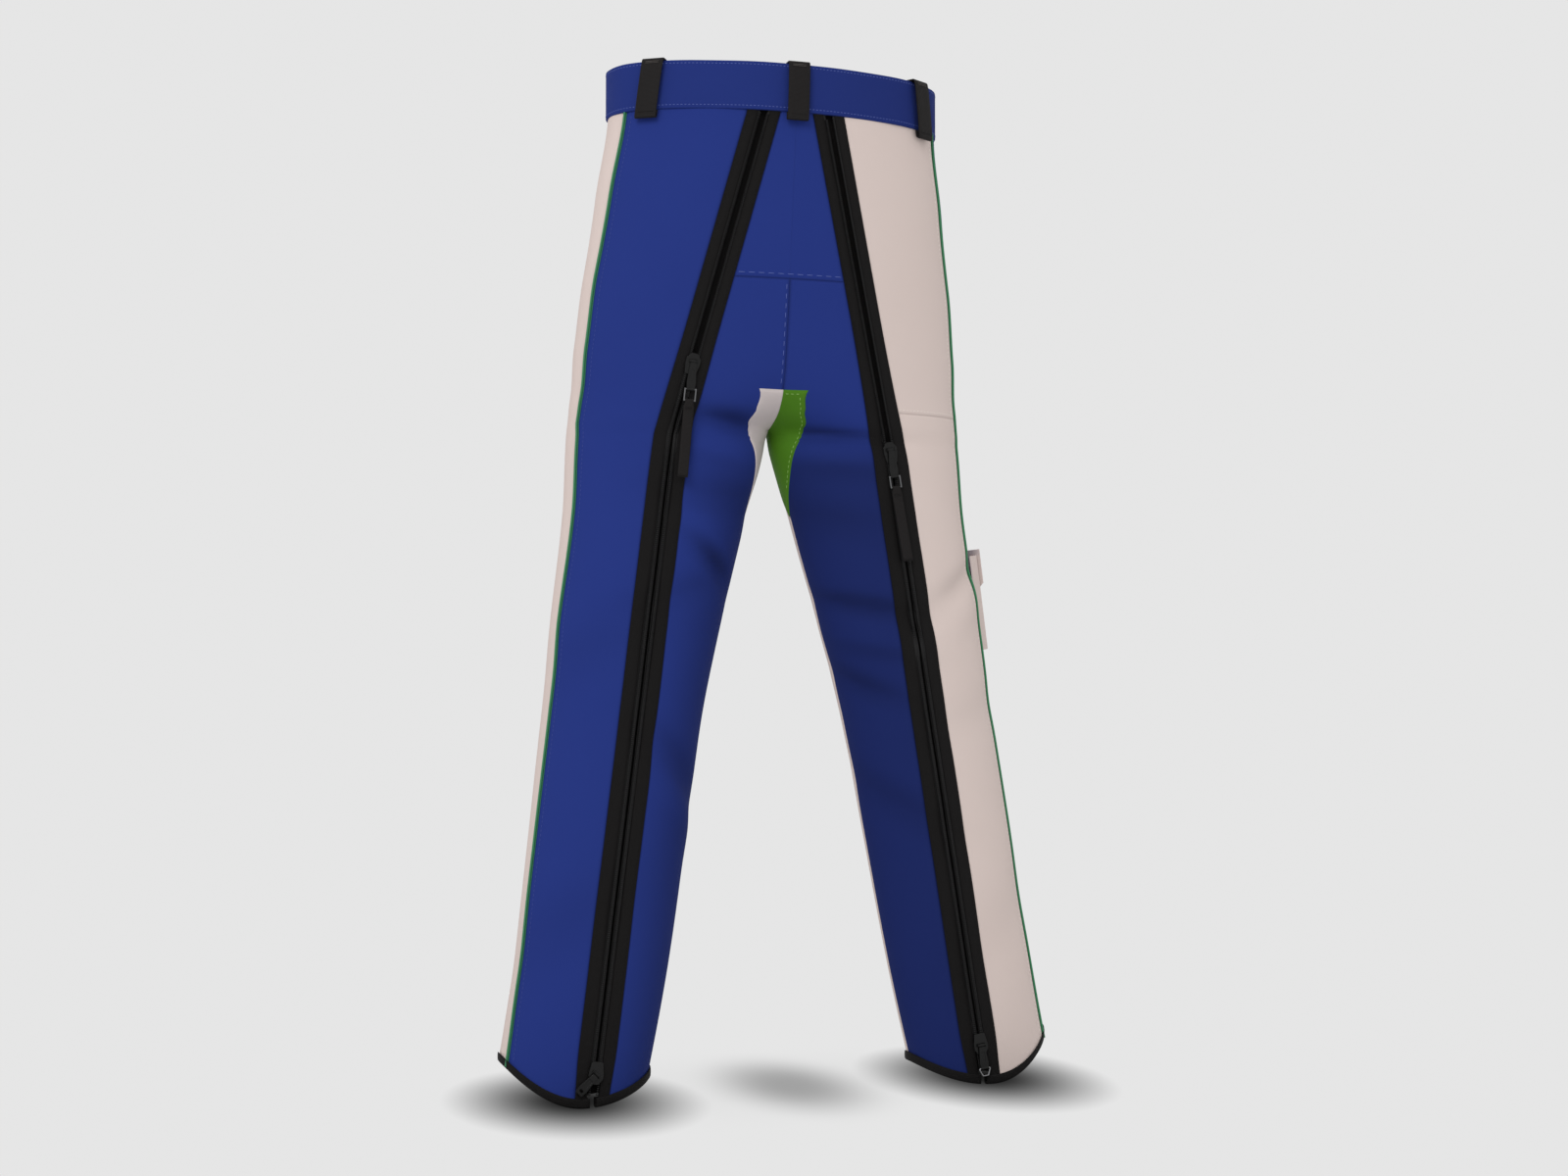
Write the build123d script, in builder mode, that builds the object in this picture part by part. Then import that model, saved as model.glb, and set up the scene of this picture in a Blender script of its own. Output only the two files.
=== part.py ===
from build123d import *
from math import acos, asin, cos, degrees, radians, sin, sqrt
import os

# Full-wrap chainsaw chaps standing on their hems.  +X is the wearer's right, +Y the wearer's
# front, +Z up; the origin is on the ground, midway between the two legs.

# ---------------------------------------------------------------- heights along the garment
WAIST_TOP = 1100.0
BAND_BOTTOM = 1048.0
YOKE_SEAM = 873.0
GUSSET_TOP = 756.0
CROTCH = 717.0
GUSSET_TIP = 622.0
OUTER_SEAM = 735.0  # cross seam of the right back outer panel
SEAT = 800.0
ZIP_KINK = 705.0  # height at which each leg zip changes direction
HEM_BINDING = 10.0  # height of the binding around each hem
HEM_RISE_OUTER = 44.0  # the hem is cut higher at the side seam than at the zip
HEM_RISE_INNER = 22.0
GARMENT_DEPTH = 150.0  # more than the depth of the garment, for cutters
HEM_REACH = 70.0  # the bound hem ends below this height

CENTRING = -0.4  # moves the whole garment forwards, so that the origin is midway front to back

# ---------------------------------------------------------------- cross-sections of one leg
# Each half of the garment is an ellipse at every height: (height, centre X, half width X,
# front Y).  Above the crotch the two ellipses merge and each half ends in the plane X = 0.
BLOCK = [
    (0, 228, 79, 22.5),
    (135, 207.5, 83, 28.5),
    (270, 188, 85.5, 42.5),
    (390, 170.7, 87.5, 60.5),
    (500, 152, 94, 72.5),
    (GUSSET_TIP, 128, 102.5, 84.5),
    (692, 116.5, 110.5, 87.5),
    (CROTCH, 112.5, 112.5, 88.5),
    (737, 90, 133.5, 89.5),
    (GUSSET_TOP, 68, 153.5, 90.5),
    (SEAT, 36, 183.5, 91.5),
    (YOKE_SEAM, 12, 199.5, 89.5),
    (960, 3, 196.5, 87.5),
    (BAND_BOTTOM, 0, 187, 85.5),
    (WAIST_TOP, 0, 185, 84.5),
]
SECTION_STEP = 15.0  # spacing of the cross-sections round the crotch, where the seams turn fastest
ZIP_FACING = (-1.0, 6.5)  # how far each stretch of the right zip faces away from straight back, degrees
ZIP_LINE = [(0, 219, -73.5), (ZIP_KINK, 122.8, -29.5), (BAND_BOTTOM, 36.3, -83.5), (WAIST_TOP, 25, -89.5)]
SIDE_SEAM = [
    (0, -42), (270, -22), (500, -3), (CROTCH, 9), (YOKE_SEAM, -7), (960, -18), (BAND_BOTTOM, -29), (WAIST_TOP, -32)
]
FRONT_SEAM = [(0, 232), (CROTCH, 128), (BAND_BOTTOM, 96), (WAIST_TOP, 96)]
GUSSET_EDGE = [(GUSSET_TIP, -179), (692, -155), (CROTCH, -138), (737, -117.7), (GUSSET_TOP, -105.1)]

# ---------------------------------------------------------------- layers, as depth below the face
FACE = 0.0
SHELL = 2.0  # outer fabric
PAD_OUT, PAD_IN = 2.3, 6.0  # cut-protection pad
LINING_OUT, LINING_IN = 6.3, 7.5
BINDING_OUT, BINDING_IN = -1.5, 8.5
SEAM_PLAY = 0.1  # half the gap between two panels that are sewn edge to edge
PAD_BOTTOM, PAD_TOP = 45.0, 692.0
LINING_TOP, HIP_LINING_BOTTOM = 1040.0, 718.0

# ---------------------------------------------------------------- zips
CHAIN_HALF, CHAIN_SLIT = 5.2, 1.6  # coil rows, either side of a slit for the slider's post
COIL_LOW, COIL_HIGH = -1.2, 2.2  # coil rows, measured outwards from the zip plane
WEB_HALF, WEB_THICK = 6.5, 0.8  # woven edge that carries each coil row
TAPE_IN, TAPE_OUT = 6.8, 18.0  # grosgrain strips, from the zip's centre line
TAPE_DEPTH, TAPE_PROUD = 1.2, 1.0
PANEL_GAP = 18.3  # where the panels stop, from the zip's centre line
BACKING_HALF, LINING_GAP = 20.0, 20.4
CHAIN_BOTTOM, CHAIN_TOP, KINK_LAP = 14.0, 1046.0, 0.8

# ---------------------------------------------------------------- sliders and their pulls
SLIDER_WIDTH, SLIDER_LENGTH = 15.6, 23.0
TOP_PLATE = (2.7, 3.9)
BOTTOM_PLATE = (-3.9, -2.6)
LIP_LOW = 1.5
POST_WIDTH, POST_LENGTH = 2.4, 3.0
PIVOT_HEIGHT = 5.9
PIN_R, EYE_R, EYE_HOLE_R = 0.8, 1.8, 0.85
LUG_IN, LUG_OUT = 3.3, 4.4
TAB_THICK, TAB_TOP_WIDTH, TAB_END_WIDTH = 1.6, 6.0, 10.0
RING_LENGTH, RING_HALF, RING_BAR = 12.0, 5.9, 1.4
STRAP_LENGTH, STRAP_WIDTH, STRAP_THICK = 83.0, 11.0, 1.2
WIRE_LOOP_LENGTH, WIRE_R = 8.0, 0.8
TAB_LEAN = 3.0  # the tabs hang in towards the coil, degrees
# slider: (height on the zip, pivot above the body's centre, tab length, tab turned sideways,
# further lean of the strap)
SLIDERS = {
    "left_upper": (779.0, 3.0, 30.0, -10.0, -8.5),
    "right_upper": (691.0, 3.0, 30.0, 0.0, -2.5),
    "left_lower": (36.0, -1.0, 27.0, 38.0, 0.0),
    "right_lower": (44.0, -1.0, 25.0, 0.0, 0.0),
}

# ---------------------------------------------------------------- trims
PIPING_HALF, PIPING_PROUD, SEAM_GAP = 1.7, 1.6, 1.9
BAND_PROUD, BAND_DEPTH, FACING_DEPTH = 2.0, 2.0, 4.5
BAND_LAP = 14.0  # the band's ends overlap by this much each side of the centre front
LOOP_WIDTH, LOOP_THICK, LOOP_GAP, LOOP_DROP, LOOP_TURN_IN = 24.0, 1.6, 4.8, 9.0, 12.0
LOOP_ANGLES = {
    "back_centre": -90,
    "back_right": -36,
    "front_right": 52,
    "back_left": -144,
    "front_left": 128,
}
BUTTON_R, BUTTON_POST_R, BUTTON_HEIGHT = 8.5, 2.0, 1074.0

# ---------------------------------------------------------------- fly, on the centre front
FLY_BOTTOM, FLY_GAP, FLY_SCALE = 866.0, 7.0, 0.6
FLY_SLIDER_HEIGHT = 1010.0
FLY_SUNK = 2.0  # the fly zip lies this deep under the front's face
PLACKET = (5.2, 6.6)  # cover, measured outwards from the fly zip's plane
PLACKET_RIGHT, PLACKET_LEFT, PLACKET_RAIL = 17.0, 32.0, 15.0

# ---------------------------------------------------------------- cargo pocket, right leg
POCKET_HEIGHT, POCKET_ANGLE = 525.0, 33.0
POUCH_WIDTH, POUCH_LENGTH, POUCH_DEPTH, POUCH_WALL = 74.0, 108.0, 9.2, 1.4
FLAP_WIDTH, FLAP_LENGTH, FLAP_THICK = 79.0, 46.0, 1.6
CLOSURE_WIDTH, CLOSURE_LENGTH, CLOSURE_THICK = 52.0, 16.0, 0.7


def along(table, z, column=1):
    """Read a column of a table of heights, straight between its rows."""
    low, high = table[0], table[-1]
    for low, high in zip(table, table[1:]):
        if z <= high[0]:
            break
    share = (z - low[0]) / (high[0] - low[0])
    return low[column] + share * (high[column] - low[column])


def section(z):
    """Centre and half widths of the right half's ellipse, which passes through the zip."""
    cx, ax, front = (along(BLOCK, z, column) for column in (1, 2, 3))
    across = sqrt(1 - ((along(ZIP_LINE, z) - cx) / ax) ** 2)
    ay = (front - along(ZIP_LINE, z, 2)) / (1 + across)
    return cx, front - ay + CENTRING, ax, ay


# ---------------------------------------------------------------- seams, as angles round the ellipse
def beside_zip(offset):
    def angle(z, depth):
        cx, cy, ax, ay = section(z)
        return -degrees(acos((along(ZIP_LINE, z) + offset - cx) / ax))

    return angle


def beside_side_seam(offset):
    def angle(z, depth):
        cx, cy, ax, ay = section(z)
        return degrees(asin((along(SIDE_SEAM, z) + offset + CENTRING - cy) / ay))

    return angle


def beside_front_seam(offset):
    def angle(z, depth):
        cx, cy, ax, ay = section(z)
        return degrees(acos((along(FRONT_SEAM, z) + offset - cx) / ax))

    return angle


def gusset_edge(z, depth):
    return along(GUSSET_EDGE, z)


def fixed(angle_deg):
    return lambda z, depth: angle_deg


def plane_x(x=0.0):
    """The back of the plane X = x, or the inseam where the leg doesn't reach that plane."""

    def angle(z, depth):
        cx, cy, ax, ay = section(z)
        reach = (x - cx) / (ax - depth)
        return -180.0 if reach <= -1 else -degrees(acos(reach))

    return angle


def front_of(edge):
    return lambda z, depth: -edge(z, depth)


def full_turn_less(edge):
    return lambda z, depth: -360 - edge(z, depth)


def strip(bottom, top, edge_a, edge_b, outer, inner):
    """Loft a layer of the right half between two seams and two heights, in the open part."""
    stations = {row[0] for row in BLOCK} | {ZIP_KINK}
    steps = int((SEAT - GUSSET_TIP) / SECTION_STEP)
    stations.update(GUSSET_TIP + SECTION_STEP * step for step in range(1, steps))
    heights = [bottom] + sorted(z for z in stations if bottom < z < top) + [top]
    profiles = []
    for z in heights:
        cx, cy, ax, ay = section(z)
        a_out, b_out = edge_a(z, outer), edge_b(z, outer)
        a_in, b_in = edge_a(z, inner), edge_b(z, inner)
        with BuildSketch(Plane.XY.offset(z)) as profile:
            with BuildLine():
                wall = EllipticalCenterArc((cx, cy), ax - outer, ay - outer, a_out, arc_size=b_out - a_out)
                back = EllipticalCenterArc((cx, cy), ax - inner, ay - inner, a_in, arc_size=b_in - a_in)
                Line(wall @ 0, back @ 0)
                Line(wall @ 1, back @ 1)
            make_face()
        profiles.append(profile.sketch)
    layer = loft(profiles, ruled=True, mode=Mode.PRIVATE)
    if layer.volume < 0:
        layer = loft(profiles[::-1], ruled=True, mode=Mode.PRIVATE)
    add(layer)


def around(edge):
    """The same seam, reached the long way round the leg."""
    return lambda z, depth: 360 + edge(z, depth)


# ---------------------------------------------------------------- hem curve, cut through both layers
def below_hem(lift):
    """Everything under the right hem's curve, which rises towards the side seam and inseam."""
    centre, half = BLOCK[0][1], 1.15 * BLOCK[0][2]
    outer, inner = 1.15**2 * HEM_RISE_OUTER, 1.15**2 * HEM_RISE_INNER
    with BuildPart() as ground:
        with BuildSketch(Plane.XZ):
            with BuildLine():
                low = Polyline((centre - half, inner + lift), (centre - half, -HEM_REACH), (centre + half, -HEM_REACH),
                               (centre + half, outer + lift))
                Bezier(low @ 1, (centre + half / 2, lift), (centre, lift))
                Bezier((centre, lift), (centre - half / 2, lift), low @ 0)
            make_face()
        extrude(amount=GARMENT_DEPTH, both=True)
    return ground.part


HEM_EDGE = below_hem(0)
BINDING_EDGE = below_hem(HEM_BINDING)


def hemmed():
    """Stop the piece in hand at the top of the hem binding."""
    add(BINDING_EDGE, mode=Mode.SUBTRACT)


def save(name, solid):
    solid.label = name
    export_step(solid, f"parts/{name}.step")


def save_pair(name, right):
    """Write the right piece and its mirror image, as right_NAME and left_NAME."""
    save("right_" + name, right)
    with BuildPart() as left:
        mirror(right, about=Plane.YZ)
    save("left_" + name, left.part)


os.makedirs("parts", exist_ok=True)

# ---------------------------------------------------------------- outer panels
with BuildPart() as back_inner_panel:
    strip(0, GUSSET_TIP, beside_zip(-PANEL_GAP), fixed(-180), FACE, SHELL)
    strip(GUSSET_TIP, GUSSET_TOP, beside_zip(-PANEL_GAP), gusset_edge, FACE, SHELL)
    strip(GUSSET_TOP, YOKE_SEAM, beside_zip(-PANEL_GAP), plane_x(), FACE, SHELL)
    hemmed()
save_pair("back_inner_panel", back_inner_panel.part)

with BuildPart() as gusset:
    strip(GUSSET_TIP, CROTCH, gusset_edge, full_turn_less(gusset_edge), FACE, SHELL)
    strip(CROTCH, GUSSET_TOP, gusset_edge, plane_x(), FACE, SHELL)
    strip(CROTCH, GUSSET_TOP, front_of(plane_x()), front_of(gusset_edge), FACE, SHELL)
save_pair("crotch_gusset", gusset.part)

with BuildPart() as back_yoke:
    strip(YOKE_SEAM, BAND_BOTTOM, beside_zip(-PANEL_GAP), plane_x(), FACE, SHELL)
    mirror(about=Plane.YZ)
save("back_yoke", back_yoke.part)

with BuildPart() as outer_lower:
    strip(0, OUTER_SEAM, beside_zip(PANEL_GAP), beside_side_seam(-SEAM_GAP), FACE, SHELL)
    hemmed()
save("right_back_outer_lower_panel", outer_lower.part)

with BuildPart() as outer_upper:
    strip(OUTER_SEAM, BAND_BOTTOM, beside_zip(PANEL_GAP), beside_side_seam(-SEAM_GAP), FACE, SHELL)
save("right_back_outer_upper_panel", outer_upper.part)

with BuildPart() as left_back_outer_panel:
    strip(0, BAND_BOTTOM, beside_zip(PANEL_GAP), beside_side_seam(-SEAM_GAP), FACE, SHELL)
    hemmed()
    mirror(about=Plane.YZ, mode=Mode.REPLACE)
save("left_back_outer_panel", left_back_outer_panel.part)

with BuildPart() as front_outer_panel:
    strip(0, BAND_BOTTOM, beside_side_seam(SEAM_GAP), beside_front_seam(SEAM_PLAY), FACE, SHELL)
    hemmed()
save_pair("front_outer_panel", front_outer_panel.part)

with BuildPart() as front_inner_panel:
    seam = beside_front_seam(-SEAM_PLAY)
    strip(0, GUSSET_TIP, seam, fixed(180), FACE, SHELL)
    strip(GUSSET_TIP, GUSSET_TOP, seam, front_of(gusset_edge), FACE, SHELL)
    strip(GUSSET_TOP, FLY_BOTTOM, seam, front_of(plane_x()), FACE, SHELL)
    strip(FLY_BOTTOM, BAND_BOTTOM, seam, front_of(plane_x(FLY_GAP)), FACE, SHELL)
    hemmed()
save_pair("front_inner_panel", front_inner_panel.part)

# ---------------------------------------------------------------- trims that follow the seams
with BuildPart() as side_piping:
    strip(0, BAND_BOTTOM, beside_side_seam(-PIPING_HALF), beside_side_seam(PIPING_HALF), -PIPING_PROUD, SHELL)
    hemmed()
save_pair("side_piping", side_piping.part)

with BuildPart() as outer_zip_tape:
    strip(0, BAND_BOTTOM, beside_zip(TAPE_IN), beside_zip(TAPE_OUT), -TAPE_PROUD, TAPE_DEPTH)
    hemmed()
save_pair("zip_outer_tape", outer_zip_tape.part)

with BuildPart() as inner_zip_tape:
    strip(0, BAND_BOTTOM, beside_zip(-TAPE_OUT), beside_zip(-TAPE_IN), -TAPE_PROUD, TAPE_DEPTH)
    hemmed()
save_pair("zip_inner_tape", inner_zip_tape.part)

with BuildPart() as hem_binding:
    strip(0, HEM_REACH, beside_zip(TAPE_IN / 2), around(beside_zip(-TAPE_IN / 2)), BINDING_OUT, BINDING_IN)
    add(BINDING_EDGE, mode=Mode.INTERSECT)
    add(HEM_EDGE, mode=Mode.SUBTRACT)
save_pair("hem_binding", hem_binding.part)

# ---------------------------------------------------------------- layers inside the legs
with BuildPart() as cut_pad:
    strip(PAD_BOTTOM, PAD_TOP, beside_zip(LINING_GAP), around(beside_zip(-LINING_GAP)), PAD_OUT, PAD_IN)
    hemmed()
save_pair("cut_protection_pad", cut_pad.part)

with BuildPart() as leg_lining:
    strip(0, CROTCH, beside_zip(LINING_GAP), around(beside_zip(-LINING_GAP)), LINING_OUT, LINING_IN)
    hemmed()
save_pair("leg_lining", leg_lining.part)

with BuildPart() as front_hip_lining:
    strip(HIP_LINING_BOTTOM, LINING_TOP, beside_zip(LINING_GAP), front_of(plane_x()), LINING_OUT, LINING_IN)
    mirror(about=Plane.YZ)
save("front_hip_lining", front_hip_lining.part)

with BuildPart() as seat_lining:
    strip(HIP_LINING_BOTTOM, LINING_TOP, plane_x(), beside_zip(-LINING_GAP), LINING_OUT, LINING_IN)
    mirror(about=Plane.YZ)
save("seat_lining", seat_lining.part)

with BuildPart() as zip_backing:
    strip(CHAIN_BOTTOM, LINING_TOP, beside_zip(-BACKING_HALF), beside_zip(BACKING_HALF), LINING_OUT, LINING_IN)
save_pair("zip_backing", zip_backing.part)


# ---------------------------------------------------------------- straight zip stretches
def frame_between(low, high, at, facing):
    """A plane on a zip: X across it, Y up along it, Z outwards; AT is a height on the zip."""
    up = (Vector(*high) - Vector(*low)).normalized()
    outwards = Vector(*facing)
    outwards = (outwards - up * outwards.dot(up)).normalized()
    share = (at - low[2]) / (high[2] - low[2])
    origin = Vector(*low) + (Vector(*high) - Vector(*low)) * share
    return Plane(origin=origin, x_dir=up.cross(outwards), z_dir=outwards)


def zip_frame(z, side=1):
    """The plane of a leg zip at a height; SIDE is 1 on the right leg and -1 on the left."""
    stretch = 0 if z < ZIP_KINK else 1
    low, high = ((side * x, y + CENTRING, height) for height, x, y in ZIP_LINE[stretch:stretch + 2])
    turn = radians(ZIP_FACING[stretch])
    return frame_between(low, high, z, (side * sin(turn), -cos(turn), 0))


def fly_frame(z):
    low, high = (
        (0, along(BLOCK, height, 3) + CENTRING - FLY_SUNK, height) for height in (FLY_BOTTOM, BAND_BOTTOM)
    )
    return frame_between(low, high, z, (0, 1, 0))


def coil_rows(frame, length, scale=1.0):
    """Both rows of a zip's coil and their woven edges, up from the frame's origin."""
    for side in (-1, 1):
        middle = side * (CHAIN_SLIT + CHAIN_HALF) / 2 * scale
        with BuildSketch(frame.offset(COIL_LOW * scale)) as coil:
            with Locations((middle, length / 2)):
                Rectangle((CHAIN_HALF - CHAIN_SLIT) * scale, length)
        extrude(coil.sketch, amount=(COIL_HIGH - COIL_LOW) * scale)
        middle = side * (CHAIN_SLIT + WEB_HALF) / 2 * scale
        with BuildSketch(frame.offset(-WEB_THICK / 2 * scale)) as web:
            with Locations((middle, length / 2)):
                Rectangle((WEB_HALF - CHAIN_SLIT) * scale, length)
        extrude(web.sketch, amount=WEB_THICK * scale)


with BuildPart() as zip_coil:
    for bottom, top in ((CHAIN_BOTTOM, ZIP_KINK), (ZIP_KINK, CHAIN_TOP)):
        stretch = zip_frame(bottom)
        coil_rows(stretch, (top - bottom) / stretch.y_dir.Z + KINK_LAP * (top == ZIP_KINK))
save_pair("zip_coil", zip_coil.part)

with BuildPart() as fly_zip:
    coil_rows(fly_frame(FLY_BOTTOM + 4), BAND_BOTTOM - FLY_BOTTOM - 8, FLY_SCALE)
save("fly_zip", fly_zip.part)


# ---------------------------------------------------------------- zip sliders
def plate(frame, levels, scale, post_end):
    """One face of a slider: a shield, widest at the end that the post stands at."""
    half, reach = SLIDER_WIDTH / 2 * scale, SLIDER_LENGTH / 2 * scale * post_end
    with BuildSketch(frame.offset(levels[0] * scale)) as face:
        with BuildLine():
            Polyline((-0.75 * half, -reach), (0.75 * half, -reach), (half, 0), (half, 0.45 * reach),
                     (0.45 * half, reach), (-0.45 * half, reach), (-half, 0.45 * reach), (-half, 0), close=True)
        make_face()
        fillet(face.vertices(), radius=1.5 * scale)
    extrude(face.sketch, amount=(levels[1] - levels[0]) * scale)


def pivot_frame(frame, along_y, lift=0.0, turn=0.0, lean=0.0):
    """A pull's pivot: moved along and off the frame, turned in its plane, then leant inwards."""
    turn, lean = radians(turn), radians(lean)
    across = frame.x_dir * cos(turn) + frame.y_dir * sin(turn)
    up = frame.z_dir.cross(across)
    return Plane(
        origin=frame.from_local_coords((0, along_y, lift)),
        x_dir=across,
        z_dir=frame.z_dir * cos(lean) - up * sin(lean),
    )


def bar(frame, radius, half_length, along_y=0.0, mode=Mode.ADD):
    """A round bar across the frame, through the point ALONG_Y on its Y axis."""
    across = Plane(origin=frame.from_local_coords((-half_length, along_y, 0)), x_dir=frame.y_dir, z_dir=frame.x_dir)
    with BuildSketch(across) as end:
        Circle(radius)
    extrude(end.sketch, amount=2 * half_length, mode=mode)


def slider_body(frame, pivot, scale, post_end):
    """A slider round both coil rows, with its post in their slit and two lugs for the pull."""
    with BuildPart() as body:
        plate(frame, TOP_PLATE, scale, post_end)
        plate(frame, BOTTOM_PLATE, scale, post_end)
        rim = (SLIDER_WIDTH / 2 - 0.5) * scale
        for side in (-1, 1):
            with BuildSketch(frame.offset(LIP_LOW * scale)):
                with Locations((side * rim, 0.2 * SLIDER_LENGTH / 2 * scale * post_end)):
                    Rectangle(1.0 * scale, 0.4 * SLIDER_LENGTH * scale)
            extrude(amount=(TOP_PLATE[0] - LIP_LOW) * scale)
        with BuildSketch(frame.offset(BOTTOM_PLATE[0] * scale)):
            with Locations((0, 0.36 * SLIDER_LENGTH * scale * post_end)):
                Rectangle(POST_WIDTH * scale, POST_LENGTH * scale)
        extrude(amount=(TOP_PLATE[1] - BOTTOM_PLATE[0]) * scale)
        for side in (-1, 1):
            lug = Plane(origin=pivot.from_local_coords((side * LUG_IN * scale, 0, 0)), x_dir=pivot.y_dir,
                        z_dir=pivot.x_dir * side)
            with BuildSketch(lug):
                Circle(1.9 * scale)
                with Locations((0, side * -1.0 * scale)):
                    Rectangle(3.8 * scale, 2.0 * scale + 0.2)
            extrude(amount=(LUG_OUT - LUG_IN) * scale)
        bar(pivot, PIN_R * scale, LUG_OUT * scale)
    return body.part


def pull_tab(pivot, length, scale, end_eye):
    """A tab that hangs from the slider's pin, with an eye or a plain slot at its end."""
    low, high = -TAB_THICK / 2 * scale, TAB_THICK / 2 * scale
    top, end = TAB_TOP_WIDTH / 2 * scale, TAB_END_WIDTH / 2 * scale
    with BuildPart() as tab:
        with BuildSketch(pivot.offset(low)) as outline:
            with BuildLine():
                Polyline((-top, 0), (top, 0), (end, -0.75 * length), (0.86 * end, -length),
                         (-0.86 * end, -length), (-end, -0.75 * length), close=True)
            make_face()
            if not end_eye:
                with Locations((0, -0.84 * length)):
                    RectangleRounded(0.9 * end, 0.11 * length, 0.05 * length, mode=Mode.SUBTRACT)
        extrude(amount=high - low)
        bar(pivot, EYE_R * scale, top)
        bar(pivot, EYE_HOLE_R * scale, top + 1, mode=Mode.SUBTRACT)
        with BuildSketch(pivot.offset(high)):
            with Locations((0, -0.5 * length)):
                RectangleRounded(0.9 * end, 0.4 * length, 1.0 * scale)
        extrude(amount=-0.4 * scale, mode=Mode.SUBTRACT)
        if end_eye:
            bar(pivot, EYE_R, 0.86 * end, -length)
            bar(pivot, EYE_HOLE_R, end + 1, -length, mode=Mode.SUBTRACT)
    return tab.part


def pull_ring(pivot):
    """A flat rectangular ring: one bar in the tab's eye, the other in the strap's fold."""
    with BuildPart() as ring:
        for side in (-1, 1):
            with BuildSketch(pivot.offset(-RING_BAR / 2)):
                with Locations((side * RING_HALF, -RING_LENGTH / 2)):
                    Rectangle(RING_BAR, RING_LENGTH + 2 * PIN_R)
            extrude(amount=RING_BAR)
        for end in (0, -RING_LENGTH):
            bar(pivot, PIN_R, RING_HALF, end)
    return ring.part


def pull_strap(pivot):
    """A flat strap folded round the ring's lower bar."""
    fold = RING_HALF - RING_BAR / 2 - 0.3
    with BuildPart() as strap:
        bar(pivot, EYE_R, fold)
        with BuildSketch(pivot.offset(-EYE_R)) as flat:
            with BuildLine():
                Polyline((-fold, 0), (fold, 0), (fold, -3), (STRAP_WIDTH / 2, -6), (STRAP_WIDTH / 2, -STRAP_LENGTH),
                         (-STRAP_WIDTH / 2, -STRAP_LENGTH), (-STRAP_WIDTH / 2, -6), (-fold, -3), close=True)
            make_face()
        extrude(amount=STRAP_THICK)
        bar(pivot, EYE_HOLE_R, fold + 1, mode=Mode.SUBTRACT)
    return strap.part


def wire_loop(pivot):
    """A small closed wire loop through the end of a tab."""
    half = TAB_END_WIDTH / 2 * 0.86 + 2.2
    start = Plane(origin=pivot.origin, x_dir=pivot.y_dir, z_dir=pivot.x_dir)
    with BuildPart() as loop:
        with BuildLine(pivot) as path:
            FilletPolyline((0, 0), (half, 0), (0.5 * half, -WIRE_LOOP_LENGTH), (0, -WIRE_LOOP_LENGTH), radius=1.2)
        with BuildSketch(start):
            Circle(WIRE_R)
        sweep(path=path.line)
        mirror(about=Plane(origin=pivot.origin, z_dir=pivot.x_dir))
    return loop.part


PIVOTS = {}
for which, (height, above, length, turn, strap_lean) in SLIDERS.items():
    leg_side = 1 if which.startswith("right") else -1
    post_end = 1 if which.endswith("upper") else -1
    frame = zip_frame(height, leg_side)
    pivot = pivot_frame(frame, above, PIVOT_HEIGHT, leg_side * turn, TAB_LEAN)
    save(which + "_slider", slider_body(frame, pivot, 1.0, post_end))
    linked = which != "left_lower"
    save(which + "_pull_tab", pull_tab(pivot, length, 1.0, linked))
    tab_end = pivot_frame(pivot, -length, lean=-TAB_LEAN)
    strap_end = pivot_frame(tab_end, -RING_LENGTH, lean=strap_lean)
    PIVOTS[which] = (frame, pivot, tab_end, strap_end)
    if which.endswith("upper"):
        save(which + "_pull_ring", pull_ring(tab_end))
        save(which + "_pull_strap", pull_strap(strap_end))
save("right_lower_wire_loop", wire_loop(PIVOTS["right_lower"][2]))

# ---------------------------------------------------------------- fly
fly_at_slider = fly_frame(FLY_SLIDER_HEIGHT)
fly_pivot = pivot_frame(fly_at_slider, 1.5, PIVOT_HEIGHT * FLY_SCALE)
FLY_TAB_LENGTH = 16.0
with BuildPart() as fly_slider:
    add(slider_body(fly_at_slider, fly_pivot, FLY_SCALE, 1))
    add(pull_tab(fly_pivot, FLY_TAB_LENGTH, FLY_SCALE, False))
    bar(fly_pivot, EYE_HOLE_R * FLY_SCALE, TAB_TOP_WIDTH / 2 * FLY_SCALE)
save("fly_slider", fly_slider.part)

with BuildPart() as fly_placket:
    base = fly_frame(FLY_BOTTOM)
    cover_length = BAND_BOTTOM - FLY_BOTTOM - 3
    with BuildSketch(base.offset(PLACKET[0])):
        with Locations(((PLACKET_LEFT - PLACKET_RIGHT) / 2, cover_length / 2)):
            Rectangle(PLACKET_LEFT + PLACKET_RIGHT, cover_length)
    extrude(amount=PLACKET[1] - PLACKET[0])
    with BuildSketch(base.offset(FLY_SUNK + 0.3)):
        with Locations(((PLACKET_LEFT + PLACKET_RAIL) / 2, cover_length / 2)):
            Rectangle(PLACKET_LEFT - PLACKET_RAIL, cover_length)
    extrude(amount=PLACKET[0] - FLY_SUNK)
save("fly_placket", fly_placket.part)

# ---------------------------------------------------------------- waistband


def ring_wall(bottom, top, outer, inner, slit_x):
    """A level ring round the waist, cut through at the front where its ends lap."""
    cx, cy, ax, ay = section(bottom)
    with BuildSketch(Plane.XY.offset(bottom)) as wall:
        with Locations((0, cy)):
            Ellipse(ax - outer, ay - outer)
            Ellipse(ax - inner, ay - inner, mode=Mode.SUBTRACT)
        with Locations((slit_x, cy + ay)):
            Rectangle(1.0, 30, mode=Mode.SUBTRACT)
    extrude(wall.sketch, amount=top - bottom)


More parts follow.
